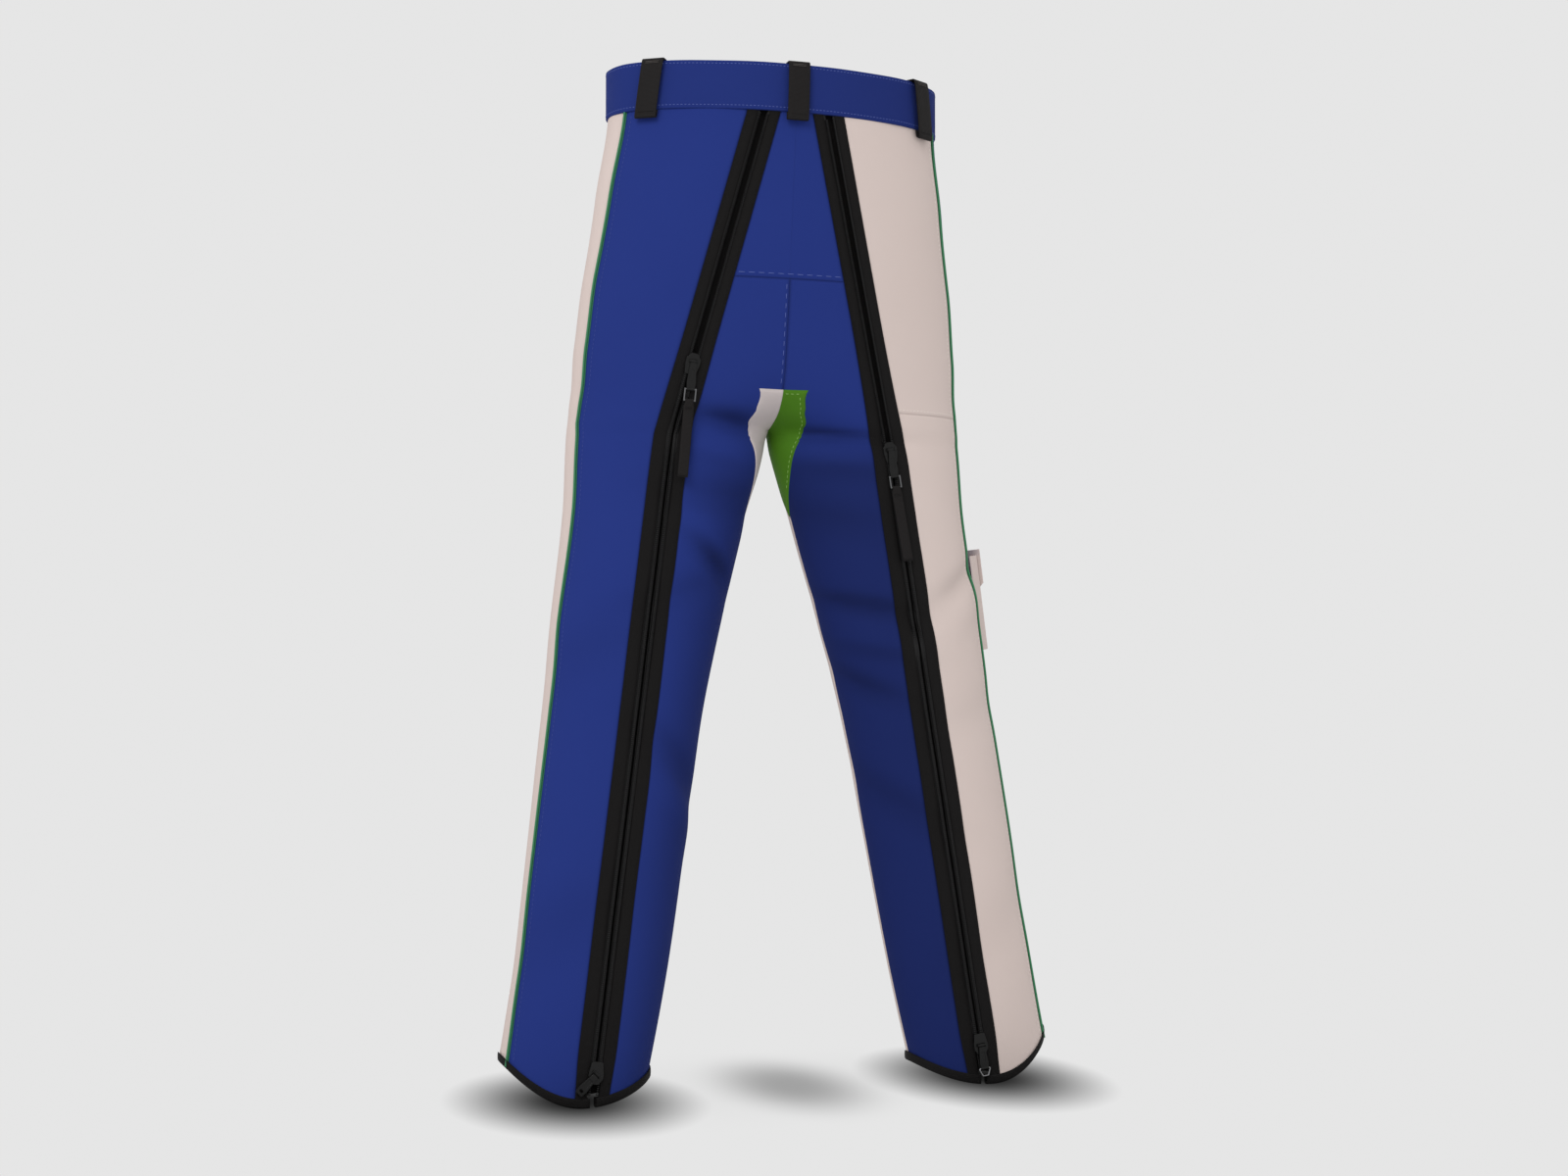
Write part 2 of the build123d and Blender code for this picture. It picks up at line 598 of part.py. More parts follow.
def front_stud_plane():
    cx, cy, ax, ay = section(BAND_BOTTOM)
    return Plane(origin=(0, cy + ay, BUTTON_HEIGHT), x_dir=(-1, 0, 0), z_dir=(0, 1, 0))


def stud_hole():
    with BuildSketch(front_stud_plane().offset(-10)) as hole:
        Circle(BUTTON_POST_R + 0.05)
    extrude(hole.sketch, amount=20, mode=Mode.SUBTRACT)


with BuildPart() as waistband:
    ring_wall(BAND_BOTTOM, WAIST_TOP, -BAND_PROUD, BAND_DEPTH, BAND_LAP)
    stud_hole()
save("waistband", waistband.part)

with BuildPart() as waistband_facing:
    ring_wall(BAND_BOTTOM, WAIST_TOP, BAND_DEPTH, FACING_DEPTH, -BAND_LAP)
    stud_hole()
save("waistband_facing", waistband_facing.part)

with BuildPart() as waist_button:
    stud = front_stud_plane()
    with BuildSketch(stud.offset(-FACING_DEPTH - 1.6)):
        Circle(BUTTON_POST_R)
    extrude(amount=FACING_DEPTH + BAND_PROUD + 2)
    with BuildSketch(stud.offset(BAND_PROUD + 0.3)) as cap:
        Circle(BUTTON_R)
    extrude(amount=2.6)
    with BuildSketch(stud.offset(-FACING_DEPTH - 1.8)):
        Circle(BUTTON_R - 2)
    extrude(amount=1.4)
    fillet(waist_button.faces().sort_by(Axis.Y)[-1].edges(), radius=1.2)
save("waist_button", waist_button.part)

# ---------------------------------------------------------------- belt loops
for where, angle in LOOP_ANGLES.items():
    cx, cy, ax, ay = section(BAND_BOTTOM)
    wide, deep, turn_rad = ax + BAND_PROUD, ay + BAND_PROUD, radians(angle)
    outwards = Vector(cos(turn_rad) / wide, sin(turn_rad) / deep, 0).normalized()
    foot = Vector(wide * cos(turn_rad), cy + deep * sin(turn_rad), BAND_BOTTOM)
    side_on = Plane(origin=foot, x_dir=outwards, z_dir=outwards.cross(Vector(0, 0, 1)))
    inside = -(BAND_PROUD + FACING_DEPTH + 1.6)
    outside = LOOP_GAP + LOOP_THICK / 2
    crown = WAIST_TOP - BAND_BOTTOM + 1.3
    with BuildPart() as loop:
        with BuildSketch(side_on):
            with BuildLine():
                FilletPolyline((inside, crown - LOOP_TURN_IN), (inside, crown), (outside, crown),
                               (outside, -LOOP_DROP), (0.0, -LOOP_DROP), radius=1.2)
            trace(line_width=LOOP_THICK)
        extrude(amount=LOOP_WIDTH / 2, both=True)
    save("belt_loop_" + where, loop.part)

# ---------------------------------------------------------------- cargo pocket
cx, cy, ax, ay = section(POCKET_HEIGHT)
spot = radians(POCKET_ANGLE)
side_slope = (section(POCKET_HEIGHT + 50)[0] + section(POCKET_HEIGHT + 50)[2] - cx - ax) / 50
pocket_up = Vector(side_slope, 0, 1).normalized()
pocket_out = Vector(cos(spot) / ax, sin(spot) / ay, 0)
pocket_out = (pocket_out - pocket_up * pocket_out.dot(pocket_up)).normalized()
pocket_frame = Plane(
    origin=(cx + ax * cos(spot), cy + ay * sin(spot), POCKET_HEIGHT),
    x_dir=pocket_up.cross(pocket_out),
    z_dir=pocket_out,
)

with BuildPart() as leg_core:
    for z in (POCKET_HEIGHT - 90, 500, POCKET_HEIGHT + 90):
        cx, cy, ax, ay = section(z)
        with BuildSketch(Plane.XY.offset(z)):
            with Locations((cx, cy)):
                Ellipse(ax + 0.3, ay + 0.3)
    loft(ruled=True)

with BuildPart() as cargo_pocket_pouch:
    with BuildSketch(pocket_frame.offset(-14)):
        Rectangle(POUCH_WIDTH, POUCH_LENGTH)
    extrude(amount=POUCH_DEPTH + 14)
    fillet(cargo_pocket_pouch.edges().filter_by(lambda e: abs(e.tangent_at(0.5).dot(pocket_up)) > 0.99), radius=3)
    with BuildSketch(pocket_frame.offset(-15)):
        with Locations((0, POUCH_WALL)):
            Rectangle(POUCH_WIDTH - 2 * POUCH_WALL, POUCH_LENGTH)
    extrude(amount=POUCH_DEPTH + 15 - POUCH_WALL, mode=Mode.SUBTRACT)
    add(leg_core.part, mode=Mode.SUBTRACT)
save("cargo_pocket_pouch", cargo_pocket_pouch.part)

with BuildPart() as pocket_closure_tape:
    with BuildSketch(pocket_frame.offset(POUCH_DEPTH)):
        with Locations((0, POUCH_LENGTH / 2 - 26)):
            RectangleRounded(CLOSURE_WIDTH, CLOSURE_LENGTH, 2)
    extrude(amount=CLOSURE_THICK)
save("pocket_closure_tape", pocket_closure_tape.part)

flap_lift = POUCH_DEPTH + CLOSURE_THICK + 0.4 + FLAP_THICK / 2
flap_hinge = pivot_frame(pocket_frame, POUCH_LENGTH / 2 + 6, flap_lift)
with BuildPart() as cargo_pocket_flap:
    with BuildSketch(flap_hinge.offset(-FLAP_THICK / 2)) as flap:
        with BuildLine():
            half = FLAP_WIDTH / 2
            Polyline((-half, 0), (half, 0), (half, -FLAP_LENGTH + 8), (half - 8, -FLAP_LENGTH),
                     (8 - half, -FLAP_LENGTH), (-half, -FLAP_LENGTH + 8), close=True)
        make_face()
    extrude(amount=FLAP_THICK)
    bar(flap_hinge, FLAP_THICK / 2, FLAP_WIDTH / 2)
save("cargo_pocket_flap", cargo_pocket_flap.part)
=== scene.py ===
import math

import bpy
import numpy as np
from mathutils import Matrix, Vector


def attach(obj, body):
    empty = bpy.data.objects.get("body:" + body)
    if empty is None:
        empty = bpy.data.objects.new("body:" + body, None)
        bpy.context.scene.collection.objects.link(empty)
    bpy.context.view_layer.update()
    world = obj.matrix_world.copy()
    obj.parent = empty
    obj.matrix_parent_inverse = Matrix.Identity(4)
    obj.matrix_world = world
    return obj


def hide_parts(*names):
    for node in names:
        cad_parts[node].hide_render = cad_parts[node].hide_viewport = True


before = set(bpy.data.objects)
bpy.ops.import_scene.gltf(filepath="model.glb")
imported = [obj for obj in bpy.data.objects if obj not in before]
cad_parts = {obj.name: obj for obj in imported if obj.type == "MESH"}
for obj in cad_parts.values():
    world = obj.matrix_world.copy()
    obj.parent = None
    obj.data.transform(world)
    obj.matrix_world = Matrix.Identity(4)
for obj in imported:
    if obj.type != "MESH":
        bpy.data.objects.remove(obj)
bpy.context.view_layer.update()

# ------------------------------------------------------------------ the garment's block, in metres
# Heights, then the right half's ellipse: centre X, half width X, front Y.
MM = 0.001
CENTRING = -0.4 * MM
WAIST_TOP, BAND_BOTTOM, YOKE_SEAM = 1.100, 1.048, 0.873
GUSSET_TOP, CROTCH, GUSSET_TIP = 0.756, 0.717, 0.622
OUTER_SEAM, ZIP_KINK = 0.735, 0.705
HEM_RISE_OUTER, HEM_RISE_INNER, HEM_BLEND = 0.044, 0.022, 0.22
BLOCK = MM * np.array([
    (0, 228, 79, 22.5),
    (135, 207.5, 83, 28.5),
    (270, 188, 85.5, 42.5),
    (390, 170.7, 87.5, 60.5),
    (500, 152, 94, 72.5),
    (622, 128, 102.5, 84.5),
    (692, 116.5, 110.5, 87.5),
    (717, 112.5, 112.5, 88.5),
    (737, 90, 133.5, 89.5),
    (756, 68, 153.5, 90.5),
    (800, 36, 183.5, 91.5),
    (873, 12, 199.5, 89.5),
    (960, 3, 196.5, 87.5),
    (1048, 0, 187, 85.5),
    (1100, 0, 185, 84.5),
])
ZIP_LINE = MM * np.array([(0, 219, -73.5), (705, 122.8, -29.5), (1048, 36.3, -83.5), (1100, 25, -89.5)])
SIDE_SEAM = MM * np.array([(0, -42), (270, -22), (500, -3), (717, 9), (873, -7), (960, -18), (1048, -29), (1100, -32)])
FRONT_SEAM = MM * np.array([(0, 232), (717, 128), (1048, 96), (1100, 96)])
# height and angle round the ellipse, degrees
GUSSET_EDGE = np.array([
    (0.622, -179.0), (0.660, -161.0), (0.692, -147.0), (0.717, -137.0), (0.737, -117.7), (0.756, -105.1),
])
# from a zip's middle: its strips' edges, where the panels stop, where the lining stops
TAPE_IN, TAPE_OUT, PANEL_GAP, LINING_GAP = 6.3 * MM, 18.0 * MM, 17.6 * MM, 20.4 * MM
CLOTH = 1.6 * MM  # thickness of the outer fabric
FOOT = 4.0 * MM  # the panels start this high, inside the hem's binding
ROW_STEP, COLUMN_STEP = 5.0 * MM, 5.0 * MM
FLY_BOTTOM, FLY_GAP = 0.866, 0.007


def smoothstep(low, high, value):
    t = np.clip((np.asarray(value, float) - low) / (high - low), 0, 1)
    return t * t * (3 - 2 * t)


def straight(table, z, column=1):
    return np.interp(z, table[:, 0], table[:, column])


def curved(table, z, column):
    """A column of the block, read on a smooth curve through its rows."""
    rows, values = table[:, 0], table[:, column]
    steps = np.diff(values) / np.diff(rows)
    before, after = steps[:-1], steps[1:]
    with np.errstate(divide="ignore", invalid="ignore"):
        middle = np.where(before * after > 0, 2 * before * after / (before + after), 0.0)
    slopes = np.concatenate([steps[:1], middle, steps[-1:]])
    at = np.clip(np.searchsorted(rows, z) - 1, 0, len(rows) - 2)
    span = rows[at + 1] - rows[at]
    t = (np.clip(z, rows[0], rows[-1]) - rows[at]) / span
    h00, h10 = 2 * t**3 - 3 * t**2 + 1, t**3 - 2 * t**2 + t
    h01, h11 = -2 * t**3 + 3 * t**2, t**3 - t**2
    return h00 * values[at] + h10 * span * slopes[at] + h01 * values[at + 1] + h11 * span * slopes[at + 1]


def zip_x(z):
    return straight(ZIP_LINE, z, 1)


def zip_y(z):
    return straight(ZIP_LINE, z, 2) + CENTRING


def section(z):
    """The right half's ellipse at each height: centre and half widths."""
    z = np.asarray(z, float)
    cx, ax = curved(BLOCK, z, 1), curved(BLOCK, z, 2)
    front = curved(BLOCK, z, 3) + CENTRING
    across = np.sqrt(1 - ((zip_x(z) - cx) / ax) ** 2)
    ay = (front - zip_y(z)) / (1 + across)
    return cx, front - ay, ax, ay


# ------------------------------------------------------------------ seams: angle round the ellipse
def beside_zip(offset):
    """OFFSET across from a zip's middle; the zip's outer edges spread where the legs round away."""
    spread = 0.13 if abs(offset) > 15 * MM else 0.0

    def angle(z):
        cx, cy, ax, ay = section(z)
        reach = offset * (1 + spread * (1 - smoothstep(0.66, 0.84, z)) * smoothstep(0.0, 0.06, z))
        return -np.arccos(np.clip((zip_x(z) + reach - cx) / ax, -1, 1))

    return angle


def beside_side_seam(offset):
    def angle(z):
        cx, cy, ax, ay = section(z)
        return np.arcsin((straight(SIDE_SEAM, z) + CENTRING + offset - cy) / ay)

    return angle


def beside_front_seam(offset):
    def angle(z):
        cx, cy, ax, ay = section(z)
        return np.arccos((straight(FRONT_SEAM, z) + offset - cx) / ax)

    return angle


def gusset_edge(z):
    return np.radians(np.interp(z, GUSSET_EDGE[:, 0], GUSSET_EDGE[:, 1]))


def plane_x(x=0.0):
    """The back of the plane X = x, or the inseam where the leg doesn't reach it."""

    def angle(z):
        cx, cy, ax, ay = section(z)
        return -np.arccos(np.clip((x - cx) / ax, -1, 1))

    return angle


def front_of(edge):
    return lambda z: -edge(z)


def around(edge):
    return lambda z: 2 * math.pi + edge(z)


# ------------------------------------------------------------------ folds pressed into the cloth
# side, height in m, angle in degrees, length, width and depth in mm (negative is a valley), tilt in degrees
FOLDS = [
    (-1, 0.716, -122, 44, 10, -7.0, 14),
    (-1, 0.688, -116, 48, 15, 3.6, 14),
    (-1, 0.636, -128, 60, 22, -5.0, 6),
    (-1, 0.565, -132, 36, 9, -6.0, 38),
    (-1, 0.594, -124, 42, 13, 3.4, 38),
    (-1, 0.530, -108, 48, 18, -2.6, -20),
    (-1, 0.350, -132, 60, 15, -4.2, 46),
    (-1, 0.300, -142, 44, 18, 2.6, 46),
    (1, 0.708, -128, 52, 8, -6.5, -4),
    (1, 0.684, -122, 54, 15, 3.4, -4),
    (1, 0.610, -132, 60, 22, -2.2, -8),
    (1, 0.518, -122, 56, 11, -4.4, -10),
    (1, 0.482, -122, 54, 15, 3.2, -10),
    (1, 0.430, -140, 46, 14, -3.4, -24),
    (1, 0.300, -128, 70, 20, -2.6, -34),
    (1, 0.545, -46, 46, 12, -5.0, 34),
    (1, 0.518, -38, 50, 17, 2.4, 34),
    (1, 0.400, -50, 60, 22, -2.0, 26),
    (1, 0.160, -60, 80, 30, -2.2, 50),
    (-1, 0.470, -62, 70, 30, -2.4, -24),
    (-1, 0.180, -60, 80, 34, -2.4, -40),
]


def folds(side, z, angle):
    depth = np.zeros(np.broadcast(z, angle).shape)
    for which, at_z, at_angle, length, width, deep, tilt in FOLDS:
        if which != side:
            continue
        cx, cy, ax, ay = section(at_z)
        turn = (angle - math.radians(at_angle) + math.pi) % (2 * math.pi) - math.pi
        across, up = turn * math.sqrt(ax * ay), z - at_z
        slope = math.radians(tilt)
        along = across * math.cos(slope) + up * math.sin(slope)
        over = up * math.cos(slope) - across * math.sin(slope)
        depth = depth + deep * MM * np.exp(-((along / (length * MM)) ** 2) - (over / (width * MM)) ** 2)
    return depth


def hem_lift(z, angle):
    rise = np.where(np.cos(angle) > 0, HEM_RISE_OUTER, HEM_RISE_INNER) * np.cos(angle) ** 2
    return rise * (1 - np.clip(z / HEM_BLEND, 0, 1)) ** 2


def bare(z, angle):
    """The right half's outer face with no folds."""
    cx, cy, ax, ay = section(z)
    x, y = cx + ax * np.cos(angle), cy + ay * np.sin(angle)
    # above the crotch the two halves meet in a soft round, not in a crease
    soft = 0.016 * smoothstep(CROTCH, CROTCH + 0.06, z)
    inner = np.sqrt(x * x + soft * soft * np.exp(-((x / 0.05) ** 2)))
    reach = np.clip((inner - cx) / ax, -1, 1)
    y = cy + np.where(np.sin(angle) > 0, 1, -1) * ay * np.sqrt(1 - reach**2)
    return np.stack([x, y, z + hem_lift(z, angle)], -1)


def normals(z, angle):
    step = 0.002
    up = bare(z + step, angle) - bare(z - step, angle)
    round_ = bare(z, angle + step) - bare(z, angle - step)
    out = np.cross(round_, up)
    return out / np.linalg.norm(out, axis=-1, keepdims=True)


def skin(side, z, angle, lift=0.0):
    """Points of the garment's face, LIFT outside it, on the right (side 1) or left (side -1)."""
    z, angle = np.broadcast_arrays(np.asarray(z, float), np.asarray(angle, float))
    point, out = bare(z, angle), normals(z, angle)
    # at the middle the halves' normals point straight back or forwards, so the two sides meet
    beside = 1 - np.exp(-((point[..., 0] / 0.012) ** 2))
    out[..., 0] *= np.where(z > CROTCH, beside, 1)
    point = point + out * (lift + folds(side, z, angle))[..., None]
    point[..., 0] *= side
    out[..., 0] *= side
    return point, out


# ------------------------------------------------------------------ mesh helpers
def new_object(name, verts, faces, material, cloth=None):
    mesh = bpy.data.meshes.new(name)
    mesh.from_pydata([tuple(v) for v in verts], [], [tuple(f) for f in faces])
    mesh.validate()
    if cloth is not None:
        layer = mesh.attributes.new("cloth", "FLOAT_VECTOR", "POINT")
        layer.data.foreach_set("vector", np.asarray(cloth, np.float32).ravel())
    mesh.shade_smooth()
    piece = bpy.data.objects.new(name, mesh)
    bpy.context.scene.collection.objects.link(piece)
    mesh.materials.append(material)
    return piece


def grid_faces(rows, cols, flip):
    r, c = np.meshgrid(np.arange(rows - 1), np.arange(cols - 1), indexing="ij")
    a = (r * cols + c).ravel()
    quads = np.stack([a, a + 1, a + cols + 1, a + cols], 1)
    return quads[:, ::-1] if flip else quads


def shell(name, outer, inner, material, cloth, flip=False):
    """A closed piece of cloth from the grids of its two faces."""
    rows, cols = outer.shape[:2]
    count = rows * cols
    index = np.arange(count).reshape(rows, cols)
    rim = np.concatenate([index[0, :], index[1:, -1], index[-1, -2::-1], index[-2:0:-1, 0]])
    following = np.roll(rim, -1)
    walls = np.stack([rim, rim + count, following + count, following], 1)
    faces = np.concatenate([
        grid_faces(rows, cols, flip),
        grid_faces(rows, cols, not flip) + count,
        walls[:, ::-1] if flip else walls,
    ])
    verts = np.concatenate([outer.reshape(-1, 3), inner.reshape(-1, 3)])
    return new_object(name, verts, faces, material, np.concatenate([cloth.reshape(-1, 3)] * 2))


def spaced(low, high, step):
    return np.linspace(low, high, max(2, int(round((high - low) / step)) + 1))


EDGE_STEPS = MM * np.array([0.0, 0.8, 1.8, 3.2])


def ring_faces(rings, sides, first=0):
    """The faces round a tube of rings of points, and over its two ends."""
    faces = []
    for start in range(first, first + (rings - 1) * sides, sides):
        for k in range(sides):
            a, b = start + k, start + (k + 1) % sides
            faces.append((a, b, b + sides, a + sides))
    last = first + (rings - 1) * sides
    return faces + [tuple(range(first, first + sides))[::-1], tuple(range(last, last + sides))]


def turned_over(faces):
    return [face[::-1] for face in faces]


def run_along(points):
    """Distance along a line of points, at each of them."""
    return np.concatenate([[0], np.cumsum(np.linalg.norm(np.diff(points, axis=0), axis=1))])


def tube(name, points, radius, material, sides=10):
    """A round tube along a line of points."""
    points = np.asarray(points, float)
    ahead = np.gradient(points, axis=0)
    ahead /= np.linalg.norm(ahead, axis=1, keepdims=True)
    guide = np.array([0.0, 0.0, 1.0]) if abs(ahead[0][2]) < 0.8 else np.array([0.0, 1.0, 0.0])
    side_dir = np.cross(ahead, guide)
    side_dir /= np.linalg.norm(side_dir, axis=1, keepdims=True)
    up_dir = np.cross(side_dir, ahead)
    turn = np.linspace(0, 2 * math.pi, sides, endpoint=False)
    radius = np.broadcast_to(radius, len(points))
    ring = np.cos(turn)[None, :, None] * side_dir[:, None] + np.sin(turn)[None, :, None] * up_dir[:, None]
    verts = (points[:, None] + ring * radius[:, None, None]).reshape(-1, 3)
    cloth = np.repeat(run_along(points), sides)
    cloth = np.stack([np.tile(turn * radius[0], len(points)), cloth, np.zeros(len(cloth))], 1)
    return new_object(name, verts, ring_faces(len(points), sides), material, cloth)


def joined(name, pieces):
    """One piece out of several."""
    bpy.ops.object.select_all(action="DESELECT")
    for piece in pieces:
        piece.select_set(True)
    bpy.context.view_layer.objects.active = pieces[0]
    bpy.ops.object.join()
    pieces[0].name = name
    return pieces[0]


def stitches(name, line, out, material, length=3.2 * MM, gap=1.6 * MM, thick=0.35 * MM, sink=0.0):
    """Dashes of thread along a line of points that lies on the cloth, with the cloth's normals."""
    line, out = np.asarray(line, float), np.asarray(out, float)
    run = run_along(line)
    verts, faces = [], []
    ring = 6
    # along a dash: share of its length, width, height above the cloth
    profile = [(0.0, 0.15, -0.9), (0.12, 0.8, 0.1), (0.5, 1.0, 0.55), (0.88, 0.8, 0.1), (1.0, 0.15, -0.9)]
    start = gap / 2
    while start + length < run[-1]:
        first = len(verts)
        for share, fat, high in profile:
            at = start + share * length
            point = np.array([np.interp(at, run, line[:, k]) for k in range(3)])
            normal = np.array([np.interp(at, run, out[:, k]) for k in range(3)])
            normal /= np.linalg.norm(normal)
            later = np.array([np.interp(at + 0.5 * MM, run, line[:, k]) for k in range(3)])
            before = np.array([np.interp(at - 0.5 * MM, run, line[:, k]) for k in range(3)])
            ahead = later - before
            ahead /= np.linalg.norm(ahead)
            wide = np.cross(ahead, normal)
            centre = point + normal * (high * thick - sink)
            for k in range(ring):
                turn = 2 * math.pi * k / ring
                verts.append(centre + (wide * math.cos(turn) * 1.25 + normal * math.sin(turn)) * thick * fat)
        faces += ring_faces(len(profile), ring, first)
        start += length + gap
    return new_object(name, verts, faces, material, np.array(verts))


# ------------------------------------------------------------------ materials
def srgb(red, green, blue):
    """A linear colour from the usual 0 to 255 values."""
    parts = [c / 255 for c in (red, green, blue)]
    return tuple(c / 12.92 if c <= 0.04045 else ((c + 0.055) / 1.055) ** 2.4 for c in parts) + (1.0,)


def add(tree, kind, inputs=None, **settings):
    """A shader node with its settings; its inputs take values, or the outputs of other nodes."""
    node = tree.nodes.new("ShaderNode" + kind)
    for name, value in settings.items():
        setattr(node, name, value)
    for name, value in (inputs or {}).items():
        if isinstance(value, bpy.types.NodeSocket):
            tree.links.new(value, node.inputs[name])
        else:
            node.inputs[name].default_value = value
    return node


def maths(tree, operation, *values):
    return add(tree, "Math", dict(enumerate(values)), operation=operation).outputs[0]


def shader(name, colour, roughness, metallic=0.0, sheen=0.0, coat=0.0, specular=0.5):
    material = bpy.data.materials.new(name)
    material.use_nodes = True
    bsdf = material.node_tree.nodes["Principled BSDF"]
    for socket, value in (("Base Color", colour), ("Roughness", roughness), ("Metallic", metallic),
                          ("Sheen Weight", sheen), ("Sheen Roughness", 0.5), ("Coat Weight", coat),
                          ("Specular IOR Level", specular)):
        bsdf.inputs[socket].default_value = value
    return material, material.node_tree, bsdf


def relieved(tree, bsdf, height, depth, strength):
    bump = add(tree, "Bump", {"Distance": depth, "Strength": strength, "Height": height})
    tree.links.new(bump.outputs[0], bsdf.inputs["Normal"])


def waves(tree, socket, pitch):
    return maths(tree, "SINE", maths(tree, "MULTIPLY", socket, 2 * math.pi / pitch))


def woven(name, colour, shade, roughness=0.85, pitch=0.9 * MM, relief=0.12 * MM, sheen=0.15, specular=0.3):
    """Cloth: a fine weave in relief and a slow drift between two shades, darkened by painted shade where its shade
    attribute is set.
    """
    material, tree, bsdf = shader(name, colour, roughness, sheen=sheen, specular=specular)
    where = add(tree, "Attribute", attribute_name="cloth").outputs["Vector"]
    apart = add(tree, "SeparateXYZ", {0: where})
    weave = maths(tree, "MULTIPLY", waves(tree, apart.outputs["X"], pitch), waves(tree, apart.outputs["Y"], pitch))
    relieved(tree, bsdf, weave, relief, 0.6)
    drift = add(tree, "TexNoise", {"Scale": 9.0, "Detail": 5.0, "Vector": where})
    share = maths(tree, "MULTIPLY", drift.outputs["Fac"], 0.5)
    shades = add(tree, "Mix", {0: share, 6: colour, 7: shade}, data_type="RGBA")
    # Painted shade: the mesh's shade attribute mixes the colour towards 0.35 of itself.
    tone = add(tree, "Attribute", attribute_name="painted_shade")
    dark = tuple(0.35 * c for c in colour[:3]) + (1,)
    colour_with_painted_shade = add(tree, "Mix", {0: tone.outputs["Fac"], 6: shades.outputs[2], 7: dark}, data_type="RGBA")
    tree.links.new(colour_with_painted_shade.outputs[2], bsdf.inputs["Base Color"])
    return material


def ribbed(name, colour, pitch, relief, specular):
    """Grosgrain or webbing: cords in relief across the strip."""
    material, tree, bsdf = shader(name, colour, 0.7, specular=specular)
    apart = add(tree, "SeparateXYZ", {0: add(tree, "Attribute", attribute_name="cloth").outputs["Vector"]})
    relieved(tree, bsdf, waves(tree, apart.outputs["Y"], pitch), relief, 0.8)
    return material


def painted_shade(side, z, angle):
    """Painted shade: how much darker the blue lies towards the inside of each leg, most on the right."""
    below = 1 - smoothstep(0.60, 0.735, z) if side < 0 else 1 - smoothstep(0.655, 0.735, z)
    inside = smoothstep(math.radians(95), math.radians(150), -angle) if side < 0 else 1.0
    return (0.5 if side < 0 else 0.7) * below * inside * np.ones_like(angle)


BLUE = woven("blue_fabric", srgb(33, 51, 124), srgb(29, 46, 116), roughness=0.85, sheen=0, specular=0.14)
CREAM = woven("cream_fabric", srgb(213, 198, 192), srgb(207, 190, 184), roughness=0.85, sheen=0, specular=0.14)
WHITE = woven("white_fabric", srgb(198, 188, 187), srgb(184, 174, 173), roughness=0.85, sheen=0, specular=0.14)
GREEN = woven("green_fabric", srgb(70, 119, 16), srgb(58, 102, 14), roughness=0.7, sheen=0, specular=0.2)
LINING = woven("lining_fabric", srgb(64, 66, 70), srgb(52, 54, 58), roughness=0.7, pitch=0.6 * MM)
FIBRE = woven("pad_fibre", srgb(226, 222, 208), srgb(206, 200, 184), roughness=0.95, pitch=2.0 * MM)
WEBBING = ribbed("black_webbing", srgb(22, 19, 19), 1.3 * MM, 0.25 * MM, specular=0.22)
TAPE = ribbed("black_zip_tape", srgb(15, 13, 13), 1.1 * MM, 0.25 * MM, specular=0.18)
COIL = shader("black_coil", srgb(10, 9, 10), 0.42, specular=0.3)[0]
PIPING = woven("green_piping", srgb(34, 120, 74), srgb(28, 104, 64), roughness=0.45, pitch=0.8 * MM, specular=0.5)
GUNMETAL = shader("gunmetal", srgb(112, 112, 114), 0.3, metallic=1.0)[0]
METAL, metal_tree, metal_bsdf = shader("black_metal", srgb(11, 11, 11), 0.34, specular=0.24, coat=0.06)
rounded = add(metal_tree, "Bevel", {"Radius": 0.5 * MM}, samples=4).outputs[0]
metal_tree.links.new(rounded, metal_bsdf.inputs["Normal"])
metal_tree.links.new(rounded, metal_bsdf.inputs["Coat Normal"])
WIRE = shader("wire", srgb(150, 150, 152), 0.3, metallic=1.0)[0]
PALE_THREAD = shader("pale_blue_thread", srgb(84, 98, 162), 0.7, specular=0.15)[0]
DARK_THREAD = shader("black_thread", srgb(18, 16, 17), 0.7, specular=0.15)[0]
BLUE_THREAD = shader("blue_thread", srgb(40, 56, 128), 0.6)[0]
LIME_THREAD = shader("pale_green_thread", srgb(138, 178, 96), 0.7, specular=0.15)[0]
CREAM_THREAD = shader("cream_thread", srgb(232, 222, 214), 0.6)[0]
TACK_THREAD = shader("grey_thread", srgb(78, 74, 72), 0.7, specular=0.15)[0]


# ------------------------------------------------------------------ handing pieces to the frame
def stays(piece, slot=None, *nodes):
    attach(piece, "garment")
    if nodes:
        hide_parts(*nodes)
    return piece


def heights(bottom, top):
    """Rows of a panel: closer together beside its ends and just above the crotch."""
    inner = spaced(bottom + EDGE_STEPS[-1] * 1.6, top - EDGE_STEPS[-1] * 1.6, ROW_STEP)
    z = np.concatenate([bottom + EDGE_STEPS, inner, top - EDGE_STEPS])
    if bottom <= CROTCH < top:
        z = z[(z < CROTCH) | (z > CROTCH + 0.012)]
        z = np.concatenate([z, CROTCH + 0.0115 * np.linspace(0, 1, 9) ** 2])
    return np.unique(np.round(z, 6))


